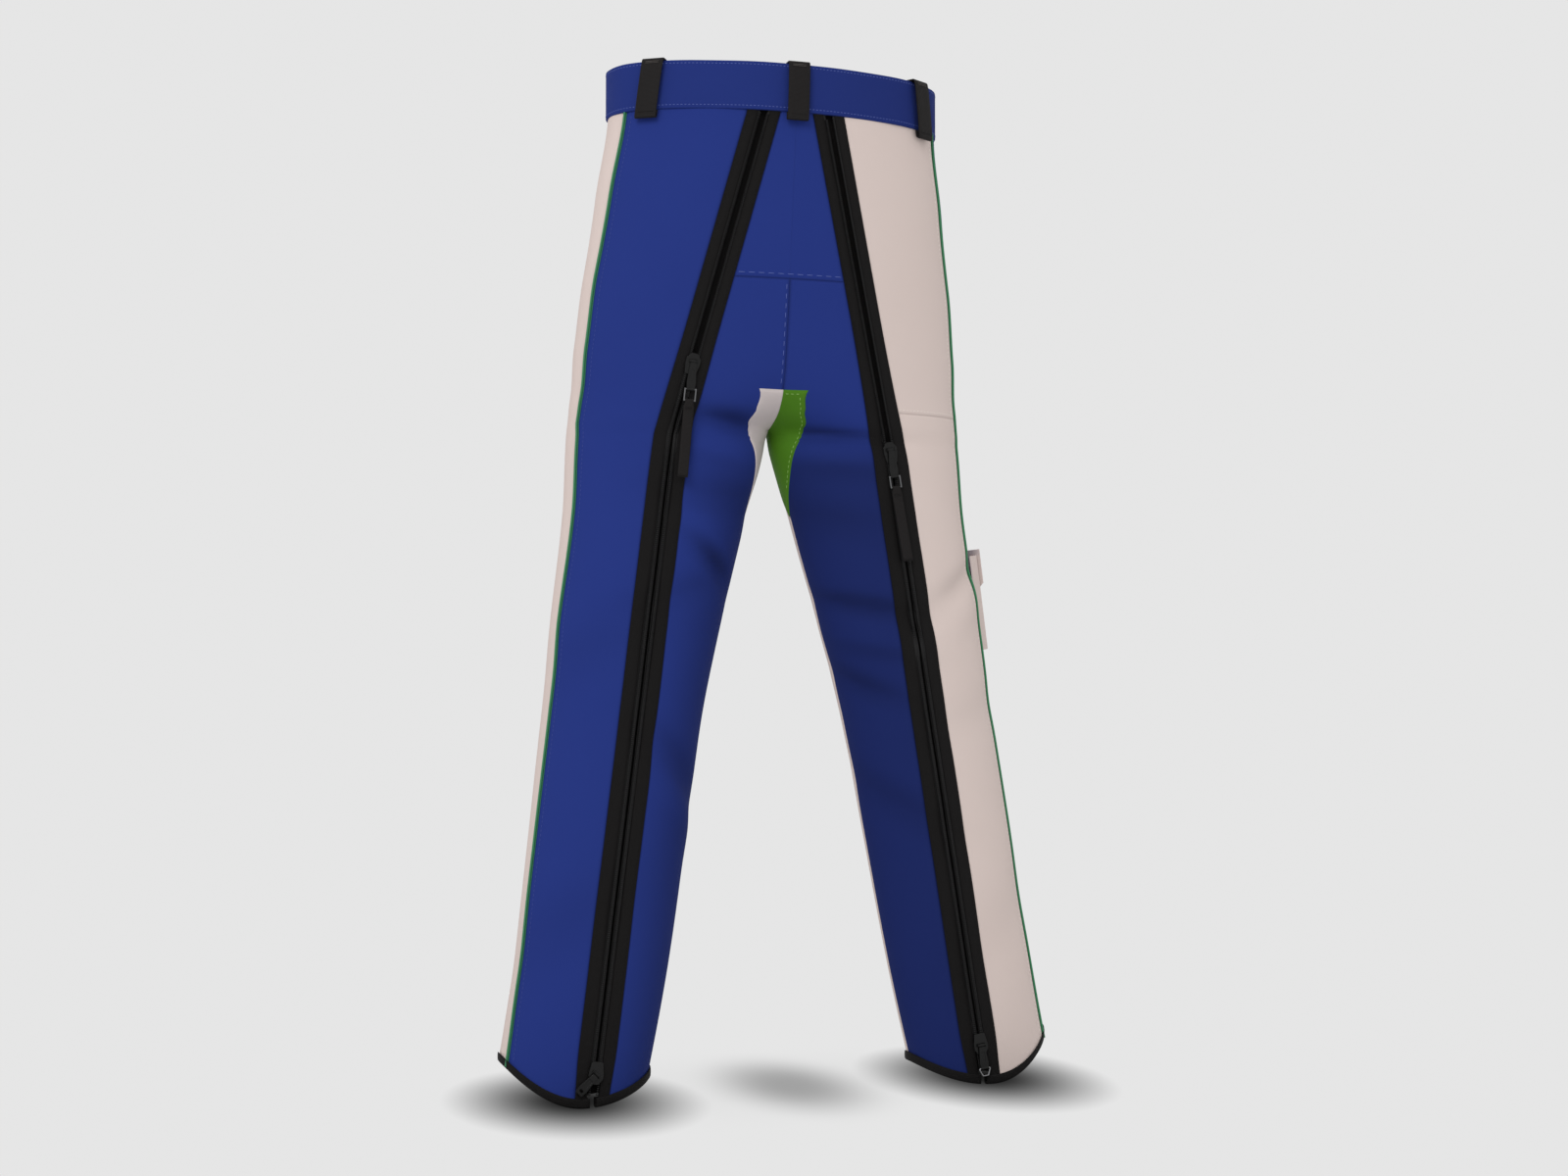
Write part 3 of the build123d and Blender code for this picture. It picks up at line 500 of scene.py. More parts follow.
def cut(bottom, top, edge_a, edge_b, step=COLUMN_STEP):
    """Heights and angles over a panel, closer together beside its seams."""
    z = heights(bottom, top)
    a, b = edge_a(z), edge_b(z)
    cx, cy, ax, ay = section(z)
    width = np.abs(b - a) * np.sqrt(ax * ay)
    cols = max(5, int(width.max() / step))
    near = EDGE_STEPS[None, :] / np.maximum(width[:, None], 4.5 * EDGE_STEPS[-1])
    middle = np.linspace(0, 1, cols)[None, :] * (1 - 2.6 * near[:, -1:]) + 1.3 * near[:, -1:]
    share = np.concatenate([near, middle, 1 - near[:, ::-1]], 1)
    angle = a[:, None] + (b - a)[:, None] * share
    return z[:, None] * np.ones_like(angle), angle, width[:, None] * share, width[:, None] * np.ones_like(angle)


def panel(name, side, bottom, top, edge_a, edge_b, material, lift=0.0, thick=CLOTH, dip=0.7 * MM, step=COLUMN_STEP,
          sunk=None, ends=(True, True), sheet=True):
    """A panel of cloth between two seams and two heights, with its edges turned down into them.
    On side 0 it runs across the middle, from the right half's EDGE_A to the left half's."""
    z, angle, across, width = cut(bottom, top, edge_a, edge_b, step)
    from_ends = np.minimum(z - bottom if ends[0] else 1, top - z if ends[1] else 1)
    from_edge = np.minimum(across if side == 0 else np.minimum(across, width - across), from_ends)
    turned = dip * np.exp(-((from_edge / (1.5 * MM)) ** 2))
    if sunk is not None:
        turned = turned + sunk(across, z)
    grids = []
    for way in ((1, -1) if side == 0 else (side,)):
        outer, _ = skin(way, z, angle, lift - turned)
        inner, _ = skin(way, z, angle, lift - thick)
        grids.append((outer, inner, np.stack([across * way, z, np.zeros_like(z)], -1)))
    if side == 0:
        outer, inner, cloth = (np.concatenate([r, l[:, -2::-1]], 1) for r, l in zip(*grids))
    else:
        outer, inner, cloth = grids[0]
    middle = bottom + 0.5 * (top - bottom)
    forward = edge_b(np.array([middle]))[0] > edge_a(np.array([middle]))[0]
    piece = shell(name, outer, inner, material, cloth, flip=(forward != (side >= 0)))
    # Painted shade: fold faces that turn downwards and fold valleys are darkened as if lit from above, the cloth just
    # beside each seam is darkened, and the back inner panels also get the inner-leg shade; cream and lining take 0.35
    # of it.
    if material in (BLUE, CREAM, LINING):
        slope = (folds(side, z + MM, angle) - folds(side, z - MM, angle)) / (2 * MM)
        tone = 0.75 * np.clip(slope, 0, 1) - 45 * np.clip(folds(side, z, angle), -1, 0)
        tone = tone + 0.5 * np.exp(-((from_edge / (1.2 * MM)) ** 2))
        tone = tone * (1.0 if material is BLUE else 0.35)
        if "back_inner" in name:
            tone = tone + painted_shade(side, z, angle)
        tone = np.clip(tone, 0, 0.95)
        tone = (np.concatenate([tone, tone[:, -2::-1]], 1) if side == 0 else tone).ravel().astype(np.float32)
        layer = piece.data.attributes.new("painted_shade", "FLOAT", "POINT")
        layer.data.foreach_set("value", np.concatenate([tone, tone]))
    return piece


# ------------------------------------------------------------------ outer panels
def leg_inner(z):
    """The inseam below the crotch, and the middle of the back above it."""
    return np.where(z < CROTCH, -math.pi, plane_x()(np.maximum(z, CROTCH)))


BELOW_BAND = BAND_BOTTOM + 0.006
for side, hand in ((1, "right"), (-1, "left")):
    stays(panel(f"{hand}_back_inner_panel", side, FOOT, YOKE_SEAM, beside_zip(-PANEL_GAP), leg_inner, BLUE),
          "blue_fabric", f"{hand}_back_inner_panel")
    stays(panel(f"{hand}_front_outer_panel", side, FOOT, BELOW_BAND, beside_side_seam(1.5 * MM),
                beside_front_seam(0.0001), CREAM if side < 0 else BLUE),
          "cream_fabric" if side < 0 else "blue_fabric", f"{hand}_front_outer_panel")
    front = [
        panel(f"{hand}_front_inner_lower", side, FOOT, FLY_BOTTOM, beside_front_seam(-0.0001), front_of(leg_inner),
              CREAM if side > 0 else BLUE, ends=(True, False), sheet=False),
        panel(f"{hand}_front_inner_upper", side, FLY_BOTTOM - 0.004, BELOW_BAND, beside_front_seam(-0.0001),
              front_of(plane_x(FLY_GAP)), CREAM if side > 0 else BLUE, lift=0.02 * MM, ends=(False, True),
              sheet=False),
    ]
    whole = joined(f"{hand}_front_inner_panel", front)
    stays(whole, "cream_fabric" if side > 0 else "blue_fabric", f"{hand}_front_inner_panel")
stays(panel("left_back_outer_panel", -1, FOOT, BELOW_BAND, beside_zip(PANEL_GAP), beside_side_seam(-1.5 * MM), BLUE),
      "blue_fabric", "left_back_outer_panel")
stays(panel("right_back_outer_lower_panel", 1, FOOT, OUTER_SEAM, beside_zip(PANEL_GAP), beside_side_seam(-1.5 * MM),
            CREAM), "cream_fabric", "right_back_outer_lower_panel")
stays(panel("right_back_outer_upper_panel", 1, OUTER_SEAM, BELOW_BAND, beside_zip(PANEL_GAP),
            beside_side_seam(-1.5 * MM), CREAM), "cream_fabric", "right_back_outer_upper_panel")
stays(panel("back_yoke", 0, YOKE_SEAM, BELOW_BAND, beside_zip(-PANEL_GAP), plane_x(), BLUE), "blue_fabric",
      "back_yoke")


# ------------------------------------------------------------------ gussets, laid over the panels' edges
def gusset(side, material, slot_name, node):
    low, high = GUSSET_TIP, GUSSET_TOP
    z = np.unique(np.concatenate([spaced(low, CROTCH, 4 * MM), CROTCH + 0.012 * np.linspace(0, 1, 7) ** 2,
                                  spaced(CROTCH + 0.012, high, 4 * MM)]))
    parts = []
    for sign in (-1, 1):
        edge, middle = gusset_edge(z), leg_inner(z)
        share = np.linspace(0, 1, 22)[None, :]
        share = share + 0.35 * share * (1 - share) * (1 - share)
        angle = edge[:, None] + (middle - edge)[:, None] * share
        cx, cy, ax, ay = section(z)
        across = np.abs(angle - edge[:, None]) * np.sqrt(ax * ay)[:, None]
        rows = z[:, None] * np.ones_like(angle)
        from_edge = np.minimum(across, high - rows)
        lift = 0.9 * MM - 0.75 * MM * np.exp(-((from_edge / (1.4 * MM)) ** 2))
        outer, _ = skin(side, rows, angle * -sign, lift)
        inner, _ = skin(side, rows, angle * -sign, 0.02 * MM)
        parts.append((outer, inner, np.stack([across * sign, rows, 0 * rows], -1)))
    back, front = parts
    pieces = [shell(f"{node}_{n}", o, i, material, c, flip=(side * s > 0))
              for n, s, (o, i, c) in (("back", 1, back), ("front", -1, front))]
    piece = joined(node, pieces)
    stays(piece, slot_name, node)


gusset(1, GREEN, "green_fabric", "right_crotch_gusset")
gusset(-1, WHITE, "cream_fabric", "left_crotch_gusset")

# ------------------------------------------------------------------ thread
z = np.full(90, YOKE_SEAM + 0.005)
reach = np.linspace(-1, 1, 90)
span = zip_x(z) - PANEL_GAP - 0.002
line, out = [], []
for share, height, wide in zip(reach, z, span):
    way = 1 if share >= 0 else -1
    angle = plane_x(abs(share) * wide)(np.array([height]))
    point, normal = skin(way, np.array([height]), angle, 0.0)
    line.append(point[0])
    out.append(normal[0])
stays(stitches("yoke_seam_stitches", line, out, PALE_THREAD, length=7.5 * MM, gap=3.4 * MM, thick=0.34 * MM))
z = np.arange(GUSSET_TOP + 0.004, YOKE_SEAM - 0.004, 0.003)
line, out = skin(-1, z, plane_x(0.0035)(z), 0.0)
stays(stitches("centre_back_stitches", line, out, PALE_THREAD, length=6 * MM, gap=4.2 * MM, thick=0.34 * MM))
z = np.arange(GUSSET_TIP + 0.030, GUSSET_TOP - 0.004, 0.002)
line, out = skin(1, z, gusset_edge(z) - 0.045, 0.9 * MM)
stays(stitches("gusset_edge_stitches", line, out, LIME_THREAD, length=3.6 * MM, gap=2.2 * MM, thick=0.32 * MM))
z = np.full(14, GUSSET_TOP - 0.004)
top_angle = np.linspace(float(gusset_edge(z[:1])[0]) - 0.05, float(leg_inner(z[:1])[0]) + 0.02, 14)
line, out = skin(1, z, top_angle, 0.9 * MM)
stays(stitches("gusset_top_stitches", line, out, LIME_THREAD, length=3.6 * MM, gap=2.2 * MM, thick=0.32 * MM))
for hand, side in (("right", 1), ("left", -1)):
    z = np.arange(0.02, BAND_BOTTOM, 0.004)
    line, out = skin(side, z, beside_side_seam(-6.5 * MM)(z), 0.0)
    thread = CREAM_THREAD if side > 0 else BLUE_THREAD
    stays(stitches(f"{hand}_side_seam_stitches", line, out, thread, thick=0.25 * MM, sink=0.1 * MM))
z_cross = OUTER_SEAM + 0.004
angles = np.linspace(float(beside_zip(PANEL_GAP + 0.001)(np.array([z_cross]))[0]),
                     float(beside_side_seam(-2.5 * MM)(np.array([z_cross]))[0]), 60)
line, out = skin(1, np.full(60, z_cross), angles, 0.0)
stays(stitches("outer_panel_cross_stitches", line, out, CREAM_THREAD, thick=0.25 * MM, sink=0.1 * MM))

# ------------------------------------------------------------------ piping down the side seams
for hand, side in (("right", 1), ("left", -1)):
    z = spaced(0.004, BAND_BOTTOM + 0.004, 4 * MM)
    cord_line, normal = skin(side, z, beside_side_seam(0.0)(z), 0.75 * MM)
    bead = tube(f"{hand}_piping_bead", cord_line, 1.25 * MM, PIPING, sides=12)
    flange = panel(f"{hand}_piping_flange", side, FOOT, BELOW_BAND, beside_side_seam(-1.6 * MM),
                   beside_side_seam(1.6 * MM), PIPING, lift=-0.4 * MM, thick=1.6 * MM, dip=0, step=0.8 * MM,
                   sheet=False)
    stays(joined(f"{hand}_side_piping", [bead, flange]), "green_piping", f"{hand}_side_piping")


# ------------------------------------------------------------------ zips
class Plane:
    """Axes across, up and out from a point, with placing of local points."""

    def __init__(self, origin, across, out):
        self.origin = np.array(origin, float)
        self.across = np.array(across, float)
        self.out = np.array(out, float)
        self.up = np.cross(self.out, self.across)

    def at(self, x, y, z):
        x, y, z = (np.asarray(v, float)[..., None] for v in (x, y, z))
        return self.origin + x * self.across + y * self.up + z * self.out

    def pivot(self, along_y, lift=0.0, turn=0.0, lean=0.0):
        turn, lean = math.radians(turn), math.radians(lean)
        across = self.across * math.cos(turn) + self.up * math.sin(turn)
        up = np.cross(self.out, across)
        out = self.out * math.cos(lean) - up * math.sin(lean)
        return Plane(self.at(0, along_y, lift), across, out)


ZIP_FACING = (-1.0, 6.5)  # degrees outwards from straight back, below and above the kink


def plane_between(low, high, height, facing):
    low, high, facing = (np.array(v, float) for v in (low, high, facing))
    up = (high - low) / np.linalg.norm(high - low)
    out = facing - up * facing.dot(up)
    out /= np.linalg.norm(out)
    origin = low + (high - low) * (height - low[2]) / (high[2] - low[2])
    return Plane(origin, np.cross(up, out), out)


def zip_frame(z, side=1):
    stretch = 0 if z < ZIP_KINK else 1
    low, high = ((side * x, y + CENTRING, height) for height, x, y in ZIP_LINE[stretch:stretch + 2])
    turn = math.radians(ZIP_FACING[stretch])
    return plane_between(low, high, z, (side * math.sin(turn), -math.cos(turn), 0))


def rods(name, lines, radius, material, sides=6):
    """Many short rods, each through its own few points, as one piece."""
    lines = np.asarray(lines, float)
    count, points = lines.shape[:2]
    ahead = np.gradient(lines, axis=1)
    ahead /= np.linalg.norm(ahead, axis=2, keepdims=True)
    guide = np.array([0.03, 0.05, 1.0])
    wide = np.cross(ahead, guide)
    wide /= np.linalg.norm(wide, axis=2, keepdims=True)
    high = np.cross(wide, ahead)
    turn = np.linspace(0, 2 * math.pi, sides, endpoint=False)
    ring = np.cos(turn)[:, None] * wide[:, :, None] + np.sin(turn)[:, None] * high[:, :, None]
    verts = (lines[:, :, None] + ring * radius).reshape(-1, 3)
    faces = [face for rod in range(count) for face in ring_faces(points, sides, rod * points * sides)]
    return new_object(name, verts, faces, material, verts)


# one turn of the coil, from its tape inwards: distance from the zip's middle and height, in mm
CLOSED_TURN = MM * np.array([(5.2, -0.2), (5.0, 1.15), (4.0, 1.75), (2.8, 1.75), (2.1, 1.1), (1.98, 0.1)])
OPEN_TURN = MM * np.array([(5.2, -0.2), (5.0, 1.15), (4.6, 1.6), (4.0, 1.6), (3.4, 1.0), (3.3, 0.1)])
COIL_PITCH = 2.1 * MM


def teeth(side, low, high, shape):
    """Coil turns of both rows between two heights of a zip."""
    lines = []
    at = low
    while at < high:
        plane = zip_frame(at, side)
        for way in (1, -1):
            x = shape[:, 0] * way
            lines.append(plane.at(x, 0.25 * COIL_PITCH * way + 0 * x, shape[:, 1]))
        at += COIL_PITCH * plane.up[2]
    return lines


def band_strip(name, side, low, high, near, far, material, lift, thick, dip=0.5 * MM):
    """A strip along a zip, between two distances from its centre line."""
    return panel(name, side, low, high, beside_zip(near), beside_zip(far), material, lift=lift, thick=thick,
                 dip=dip, step=2.5 * MM, sheet=False)


# heights of the sliders on the right (1) and left (-1) zip
UPPER = {1: 0.691, -1: 0.779}
LOWER = {1: 0.044, -1: 0.036}
COIL_FOOT, COIL_TOP = 0.014, 1.045
for hand, side in (("right", 1), ("left", -1)):
    outer = band_strip(f"{hand}_outer_strip", side, FOOT, BELOW_BAND, TAPE_IN, TAPE_OUT, TAPE, 1.0 * MM, 2.2 * MM)
    stays(outer, "black_zip_tape", f"{hand}_zip_outer_tape")
    inner = band_strip(f"{hand}_inner_strip", side, FOOT, BELOW_BAND, -TAPE_OUT, -TAPE_IN, TAPE, 1.0 * MM, 2.2 * MM)
    stays(inner, "black_zip_tape", f"{hand}_zip_inner_tape")
    closed_from, closed_to = LOWER[side] - 6 * MM, UPPER[side] + 4 * MM
    lines = teeth(side, COIL_FOOT, closed_from, OPEN_TURN)
    lines += teeth(side, closed_from, closed_to, CLOSED_TURN)
    lines += teeth(side, closed_to, COIL_TOP, OPEN_TURN)
    coil = rods(f"{hand}_coil_turns", lines, 0.72 * MM, COIL)
    webs = []
    for state, low, high, near, far in (("closed", LOWER[side] - 4 * MM, closed_to, 1.3 * MM, 6.4 * MM),
                                        ("open", closed_to, BAND_BOTTOM, 4.4 * MM, 7.2 * MM)):
        for row, edges in (("a", (near, far)), ("b", (-far, -near))):
            webs.append(band_strip(f"{hand}_web_{state}_{row}", side, low, high, *edges, COIL, -0.1 * MM, 0.7 * MM,
                                   dip=0))
    stays(joined(f"{hand}_zip_coil_rows", [coil] + webs), "black_coil", f"{hand}_zip_coil")
    backing = band_strip(f"{hand}_backing", side, COIL_FOOT, BAND_BOTTOM + 0.003, -0.020, 0.020, TAPE, -6.3 * MM,
                         1.2 * MM, dip=0)
    stays(backing, "lining_fabric", f"{hand}_zip_backing")
    for name, at in (("outer", TAPE_OUT - 2.0 * MM), ("inner", -TAPE_OUT + 2.0 * MM)):
        z = np.arange(0.02, BAND_BOTTOM - 0.002, 0.004)
        line, out = skin(side, z, beside_zip(at)(z), 0.9 * MM)
        stays(stitches(f"{hand}_{name}_strip_stitches", line, out, DARK_THREAD, thick=0.28 * MM))

# ------------------------------------------------------------------ sliders and pulls keep their CAD shape
def dressed(node, material):
    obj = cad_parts[node]
    obj.data.materials.clear()
    obj.data.materials.append(material)
    return obj


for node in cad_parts:
    if node.endswith(("_slider", "_pull_tab")) or node == "waist_button":
        dressed(node, METAL)
    elif node.endswith("_pull_ring"):
        dressed(node, GUNMETAL)
    elif node.endswith("_wire_loop"):
        dressed(node, WIRE)


# ------------------------------------------------------------------ ribbons: belt loops and pull straps
def ribbon(name, path, across, half_width, thick, material):
    """A flat band along a path, with rounded edges; ACROSS is its width's direction."""
    path, across = np.asarray(path, float), np.asarray(across, float)
    half_width = np.broadcast_to(half_width, len(path))
    run = run_along(path)
    ahead = np.gradient(path, axis=0)
    ahead /= np.linalg.norm(ahead, axis=1, keepdims=True)
    out = np.cross(across, ahead)
    out /= np.linalg.norm(out, axis=1, keepdims=True)
    across_n = across / np.linalg.norm(across)
    top = [(-1, 0.0), (-0.985, 0.35), (-0.95, 0.5), (-0.5, 0.5), (0, 0.5), (0.5, 0.5), (0.95, 0.5), (0.985, 0.35)]
    outline = np.array(top + [(-x, -y) for x, y in top])
    sides = len(outline)
    verts = (path[:, None] + outline[None, :, :1] * half_width[:, None, None] * across_n
             + (outline[None, :, 1:] * thick) * out[:, None])
    verts = verts.reshape(-1, 3)
    cloth = np.stack([np.tile(outline[:, 0], len(path)) * np.repeat(half_width, sides), np.repeat(run, sides),
                      np.zeros(len(verts))], 1)
    return new_object(name, verts, ring_faces(len(path), sides), material, cloth)


def rounded_path(corners, radius, steps=7):
    """Points along straight runs with their corners rounded."""
    corners = [np.array(c, float) for c in corners]
    points = [corners[0]]
    for before, at, after in zip(corners, corners[1:], corners[2:]):
        a, b = before - at, after - at
        reach = min(radius, 0.48 * np.linalg.norm(a), 0.48 * np.linalg.norm(b))
        a, b = at + a / np.linalg.norm(a) * reach, at + b / np.linalg.norm(b) * reach
        for t in np.linspace(0, 1, steps):
            points.append((1 - t) ** 2 * a + 2 * t * (1 - t) * at + t * t * b)
    points.append(corners[-1])
    filled = [points[0]]
    for point in points[1:]:
        gap = np.linalg.norm(point - filled[-1])
        for k in range(1, int(gap / (3 * MM)) + 1):
            filled.append(filled[-1] + (point - filled[-1]) / (int(gap / (3 * MM)) + 2 - k))
        filled.append(point)
    return np.array(filled)


def tack(name, centre, across, up, width, rows, material=TACK_THREAD, pitch=1.4 * MM, radius=0.3 * MM):
    """A bar tack: a few close lines of thread across a band."""
    across, up = np.asarray(across, float), np.asarray(up, float)
    lines = []
    for row in range(rows):
        base = np.asarray(centre, float) + up * (row - (rows - 1) / 2) * pitch
        lines.append([base + across * s * width / 2 for s in (-1, -0.33, 0.33, 1)])
    return rods(name, lines, radius, material)


# each upper pull: side, how the tab is turned and how the strap leans, in degrees
PULLS = {"left_upper": (-1, -10.0, -8.5), "right_upper": (1, 0.0, -2.5)}
TAB_PIVOT, PIVOT_HEIGHT, TAB_LEAN = 3.0 * MM, 5.9 * MM, 3.0
TAB_LENGTH, RING_LENGTH = 30.0 * MM, 12.0 * MM
for which, (side, turn, lean) in PULLS.items():
    pivot = zip_frame(UPPER[side], side).pivot(TAB_PIVOT, PIVOT_HEIGHT, side * turn, TAB_LEAN)
    tab_end = pivot.pivot(-TAB_LENGTH, lean=-TAB_LEAN)
    strap_end = tab_end.pivot(-RING_LENGTH, lean=lean)
    # across, along and out from the ring, in mm: the strap is doubled round the ring
    path = [(0, -83.0, -1.15), (0, -40.0, -1.2), (0, -12.0, -1.3), (0, -6.5, -1.2), (0, -2.6, -1.75), (0, 0.2, -1.45),
            (0, 1.45, 0.0), (0, 0.2, 1.45), (0, -2.6, 0.9), (0, -6.5, -0.1), (0, -12.0, -0.25), (0, -40.0, -0.15),
            (0, -81.5, -0.1)]
    points = strap_end.at(*[np.array(c) * MM for c in zip(*path)])
    points = rounded_path(points, 1.6 * MM, 5)
    local_y = (points - strap_end.origin) @ strap_end.up
    wide = np.interp(-local_y, np.array([-2, 3.0, 6.5, 90]) * MM, np.array([4.6, 4.6, 5.6, 5.6]) * MM)
    strap = ribbon(f"{which}_strap_band", points, strap_end.across, wide, 0.95 * MM, WEBBING)
    tacks = tack(f"{which}_strap_tack", strap_end.at(0, -9 * MM, 0.38 * MM), strap_end.across, strap_end.up, 8 * MM, 2,
                 DARK_THREAD)
    whole = joined(f"{which}_strap", [strap, tacks])
    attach(whole, f"{which}_pull_strap")
    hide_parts(f"{which}_pull_strap")

# ------------------------------------------------------------------ waistband
BAND_RIM = 1.2 * MM


def band_sway(angle):
    """How far the waistband's face wanders out and in on its way round."""
    return 0.5 * MM * np.sin(angle * 7 + 1.0) + 0.4 * MM * np.sin(angle * 13)


def band_ring(name, out, inner, low, high, material, slit, steps=220):
    """A level ring round the waist with rounded rims, cut at SLIT beside the centre front."""
    cx, cy, ax, ay = (float(v[0]) for v in section(np.array([BAND_BOTTOM])))
    start = math.acos(np.clip((slit - 0.5 * MM) / ax, -1, 1))
    end = math.acos(np.clip((slit + 0.5 * MM) / ax, -1, 1)) + 2 * math.pi
    angle = np.linspace(start, end, steps)
    mid = (out + inner) / 2
    half = (out - inner) / 2
    outline = []
    for turn in np.linspace(0, math.pi, 9):
        outline.append((mid + half * math.cos(turn), high - BAND_RIM + BAND_RIM * math.sin(turn)))
    lows = [(r, low + high - z) for r, z in outline[::-1]]
    steps_z = np.linspace(low + 0.008, high - 0.008, 6)
    ring = outline + [(inner, z) for z in steps_z[::-1]] + lows + [(out, z) for z in steps_z]
    ring = np.array(ring)
    cosines, sines = np.cos(angle), np.sin(angle)
    arc = np.concatenate([[0], np.cumsum(np.hypot(np.diff(ax * cosines), np.diff(ay * sines)))])
    offset = ring[:, 0]
    sway = band_sway(angle)
    x = (ax + offset[None, :] + sway[:, None]) * cosines[:, None]
    y = cy + (ay + offset[None, :] + sway[:, None]) * sines[:, None]
    z = np.broadcast_to(ring[None, :, 1], x.shape)
    count = len(ring)
    verts = np.stack([x, y, z], -1).reshape(-1, 3)
    cloth = np.stack([np.repeat(arc, count), verts[:, 2], 0 * verts[:, 2]], 1)
    ring_piece = new_object(name, verts, turned_over(ring_faces(steps, count)), material, cloth)
    # Painted shade: the whole waistband is darkened, more towards its right side.
    layer = ring_piece.data.attributes.new("painted_shade", "FLOAT", "POINT")
    layer.data.foreach_set("value", (0.26 + 0.16 * smoothstep(-0.1, 0.19, verts[:, 0])).astype(np.float32))
    return ring_piece, (ax, ay, cy)


band, (BAND_AX, BAND_AY, BAND_CY) = band_ring("waistband_shell", 2.0 * MM, -1.8 * MM, BAND_BOTTOM, WAIST_TOP, BLUE,
                                              0.014)
stays(band, "blue_fabric", "waistband")
facing, _ = band_ring("waistband_inside", -2.2 * MM, -4.4 * MM, BAND_BOTTOM + 0.001, WAIST_TOP - 0.001, BLUE, -0.014)
stays(facing, "blue_fabric", "waistband_facing")
for name, height in (("low", BAND_BOTTOM + 0.004), ("high", WAIST_TOP - 0.0035)):
    angle = np.linspace(math.radians(98), math.radians(440), 420)
    sway = band_sway(angle)
    x = (BAND_AX + 2.0 * MM + sway) * np.cos(angle)
    y = BAND_CY + (BAND_AY + 2.0 * MM + sway) * np.sin(angle)
    line = np.stack([x, y, np.full_like(x, height)], -1)
    out = np.stack([np.cos(angle) / BAND_AX, np.sin(angle) / BAND_AY, 0 * x], -1)
    out /= np.linalg.norm(out, axis=1, keepdims=True)
    stays(stitches(f"waistband_{name}_stitches", line, out, PALE_THREAD, length=2.6 * MM, gap=1.5 * MM, thick=0.3 * MM,
                   sink=0.05 * MM))

# ------------------------------------------------------------------ belt loops
LOOP_ANGLES = {"back_centre": -90.0, "back_right": -36.0, "front_right": 52.0, "back_left": -144.0, "front_left": 128.0}
LOOP_GAP, LOOP_THICK, LOOP_DROP = 4.8 * MM, 1.6 * MM, 9.0 * MM
LOOP_LEAN = {"back_left": 8.0, "back_right": -8.0, "back_centre": 1.5}
for where, degrees_ in LOOP_ANGLES.items():
    turn = math.radians(degrees_)
    wide, deep = BAND_AX + 2 * MM, BAND_AY + 2 * MM
    out = np.array([math.cos(turn) / wide, math.sin(turn) / deep, 0])
    out /= np.linalg.norm(out)
    across = np.cross([0, 0, 1.0], out)
    foot = np.array([wide * math.cos(turn), BAND_CY + deep * math.sin(turn), BAND_BOTTOM])
    crown = WAIST_TOP - BAND_BOTTOM + 1.3 * MM
    outside = LOOP_GAP + LOOP_THICK / 2
    inside = -(2 + 4.5 + 1.6) * MM
    corners = [(inside, crown - 12 * MM), (inside, crown), (outside - 1.0 * MM, crown), (outside, crown - 9 * MM),
               (outside + 0.2 * MM, 18 * MM), (outside - 0.4 * MM, -LOOP_DROP), (1.2 * MM, -LOOP_DROP),
               (0.8 * MM, -1.2 * MM)]
    up = np.array([0, 0, 1.0]) + across * math.tan(math.radians(LOOP_LEAN.get(where, 0.0)))
    foot = foot - (up - [0, 0, 1.0]) * (WAIST_TOP - BAND_BOTTOM) / 2
    path = [foot + out * r + up * h for r, h in corners]
    band_piece = ribbon(f"{where}_loop_band", rounded_path(path, 2.6 * MM), across, 12 * MM, LOOP_THICK, WEBBING)
    high, low = up * (crown - 4.0 * MM), up * -3.5 * MM
    pieces = [
        band_piece,
        tack(f"{where}_tack_top", foot + out * (outside + 0.5 * MM) + high, across, up, 15 * MM, 2),
        tack(f"{where}_tack_low", foot + out * (outside + 0.45 * MM) + low, across, up, 17 * MM, 1, DARK_THREAD),
    ]
    stays(joined(f"{where}_loop", pieces), "black_webbing", f"belt_loop_{where}")

# ------------------------------------------------------------------ hem binding
for hand, side in (("right", 1), ("left", -1)):
    start = float(beside_zip(3.4 * MM)(np.array([0.0]))[0])
    end = 2 * math.pi + float(beside_zip(-3.4 * MM)(np.array([0.0]))[0])
    angle = np.linspace(start, end, 150)
    # out from the fabric's face and up from the hem, in mm
    outline = [(1.5, 10.6), (1.9, 8.0), (1.9, 5.0), (1.7, 2.2), (0.4, 0.5), (-1.6, 0.0), (-5.0, 0.0), (-7.4, 0.6),
               (-8.4, 2.2), (-8.5, 6.0), (-8.2, 9.6), (-7.4, 9.7), (-7.4, 2.4), (0.2, 2.4), (0.3, 9.6)]
    verts, cloth = [], []
    for a in angle:
        for lift, high in outline:
            point, _ = skin(side, np.array([0.012]), np.array([a]), lift * MM)
            foot = float(hem_lift(np.array([0.0]), np.array([a]))[0])
            verts.append((point[0][0], point[0][1], foot + high * MM))
            cloth.append((a * 0.08, (high + lift) * MM, 0))
    faces = ring_faces(len(angle), len(outline))
    binding = new_object(f"{hand}_binding", verts, turned_over(faces) if side > 0 else faces, TAPE, cloth)
    stays(binding, "black_webbing", f"{hand}_hem_binding")

# ------------------------------------------------------------------ layers inside
LEG_LINING = (0.010, CROTCH)
HIP_LINING = (CROTCH + 1 * MM, 1.040)
PAD = (0.045, 0.692)
QUILT = 42.0  # the pad's stitched channels lie pi / QUILT metres apart


def quilted(across, z):
    """How far the stitched channels pull the pad in."""
    return 0.45 * MM * (np.abs(np.sin(across * QUILT)) ** 0.3 * np.abs(np.sin(z * QUILT)) ** 0.3 < 0.55)


def lining(name, side, low, high, edge_a, edge_b):
    stays(panel(name, side, low, high, edge_a, edge_b, LINING, lift=-6.4 * MM, thick=7.4 * MM, dip=0, step=8 * MM),
          "lining_fabric", name)


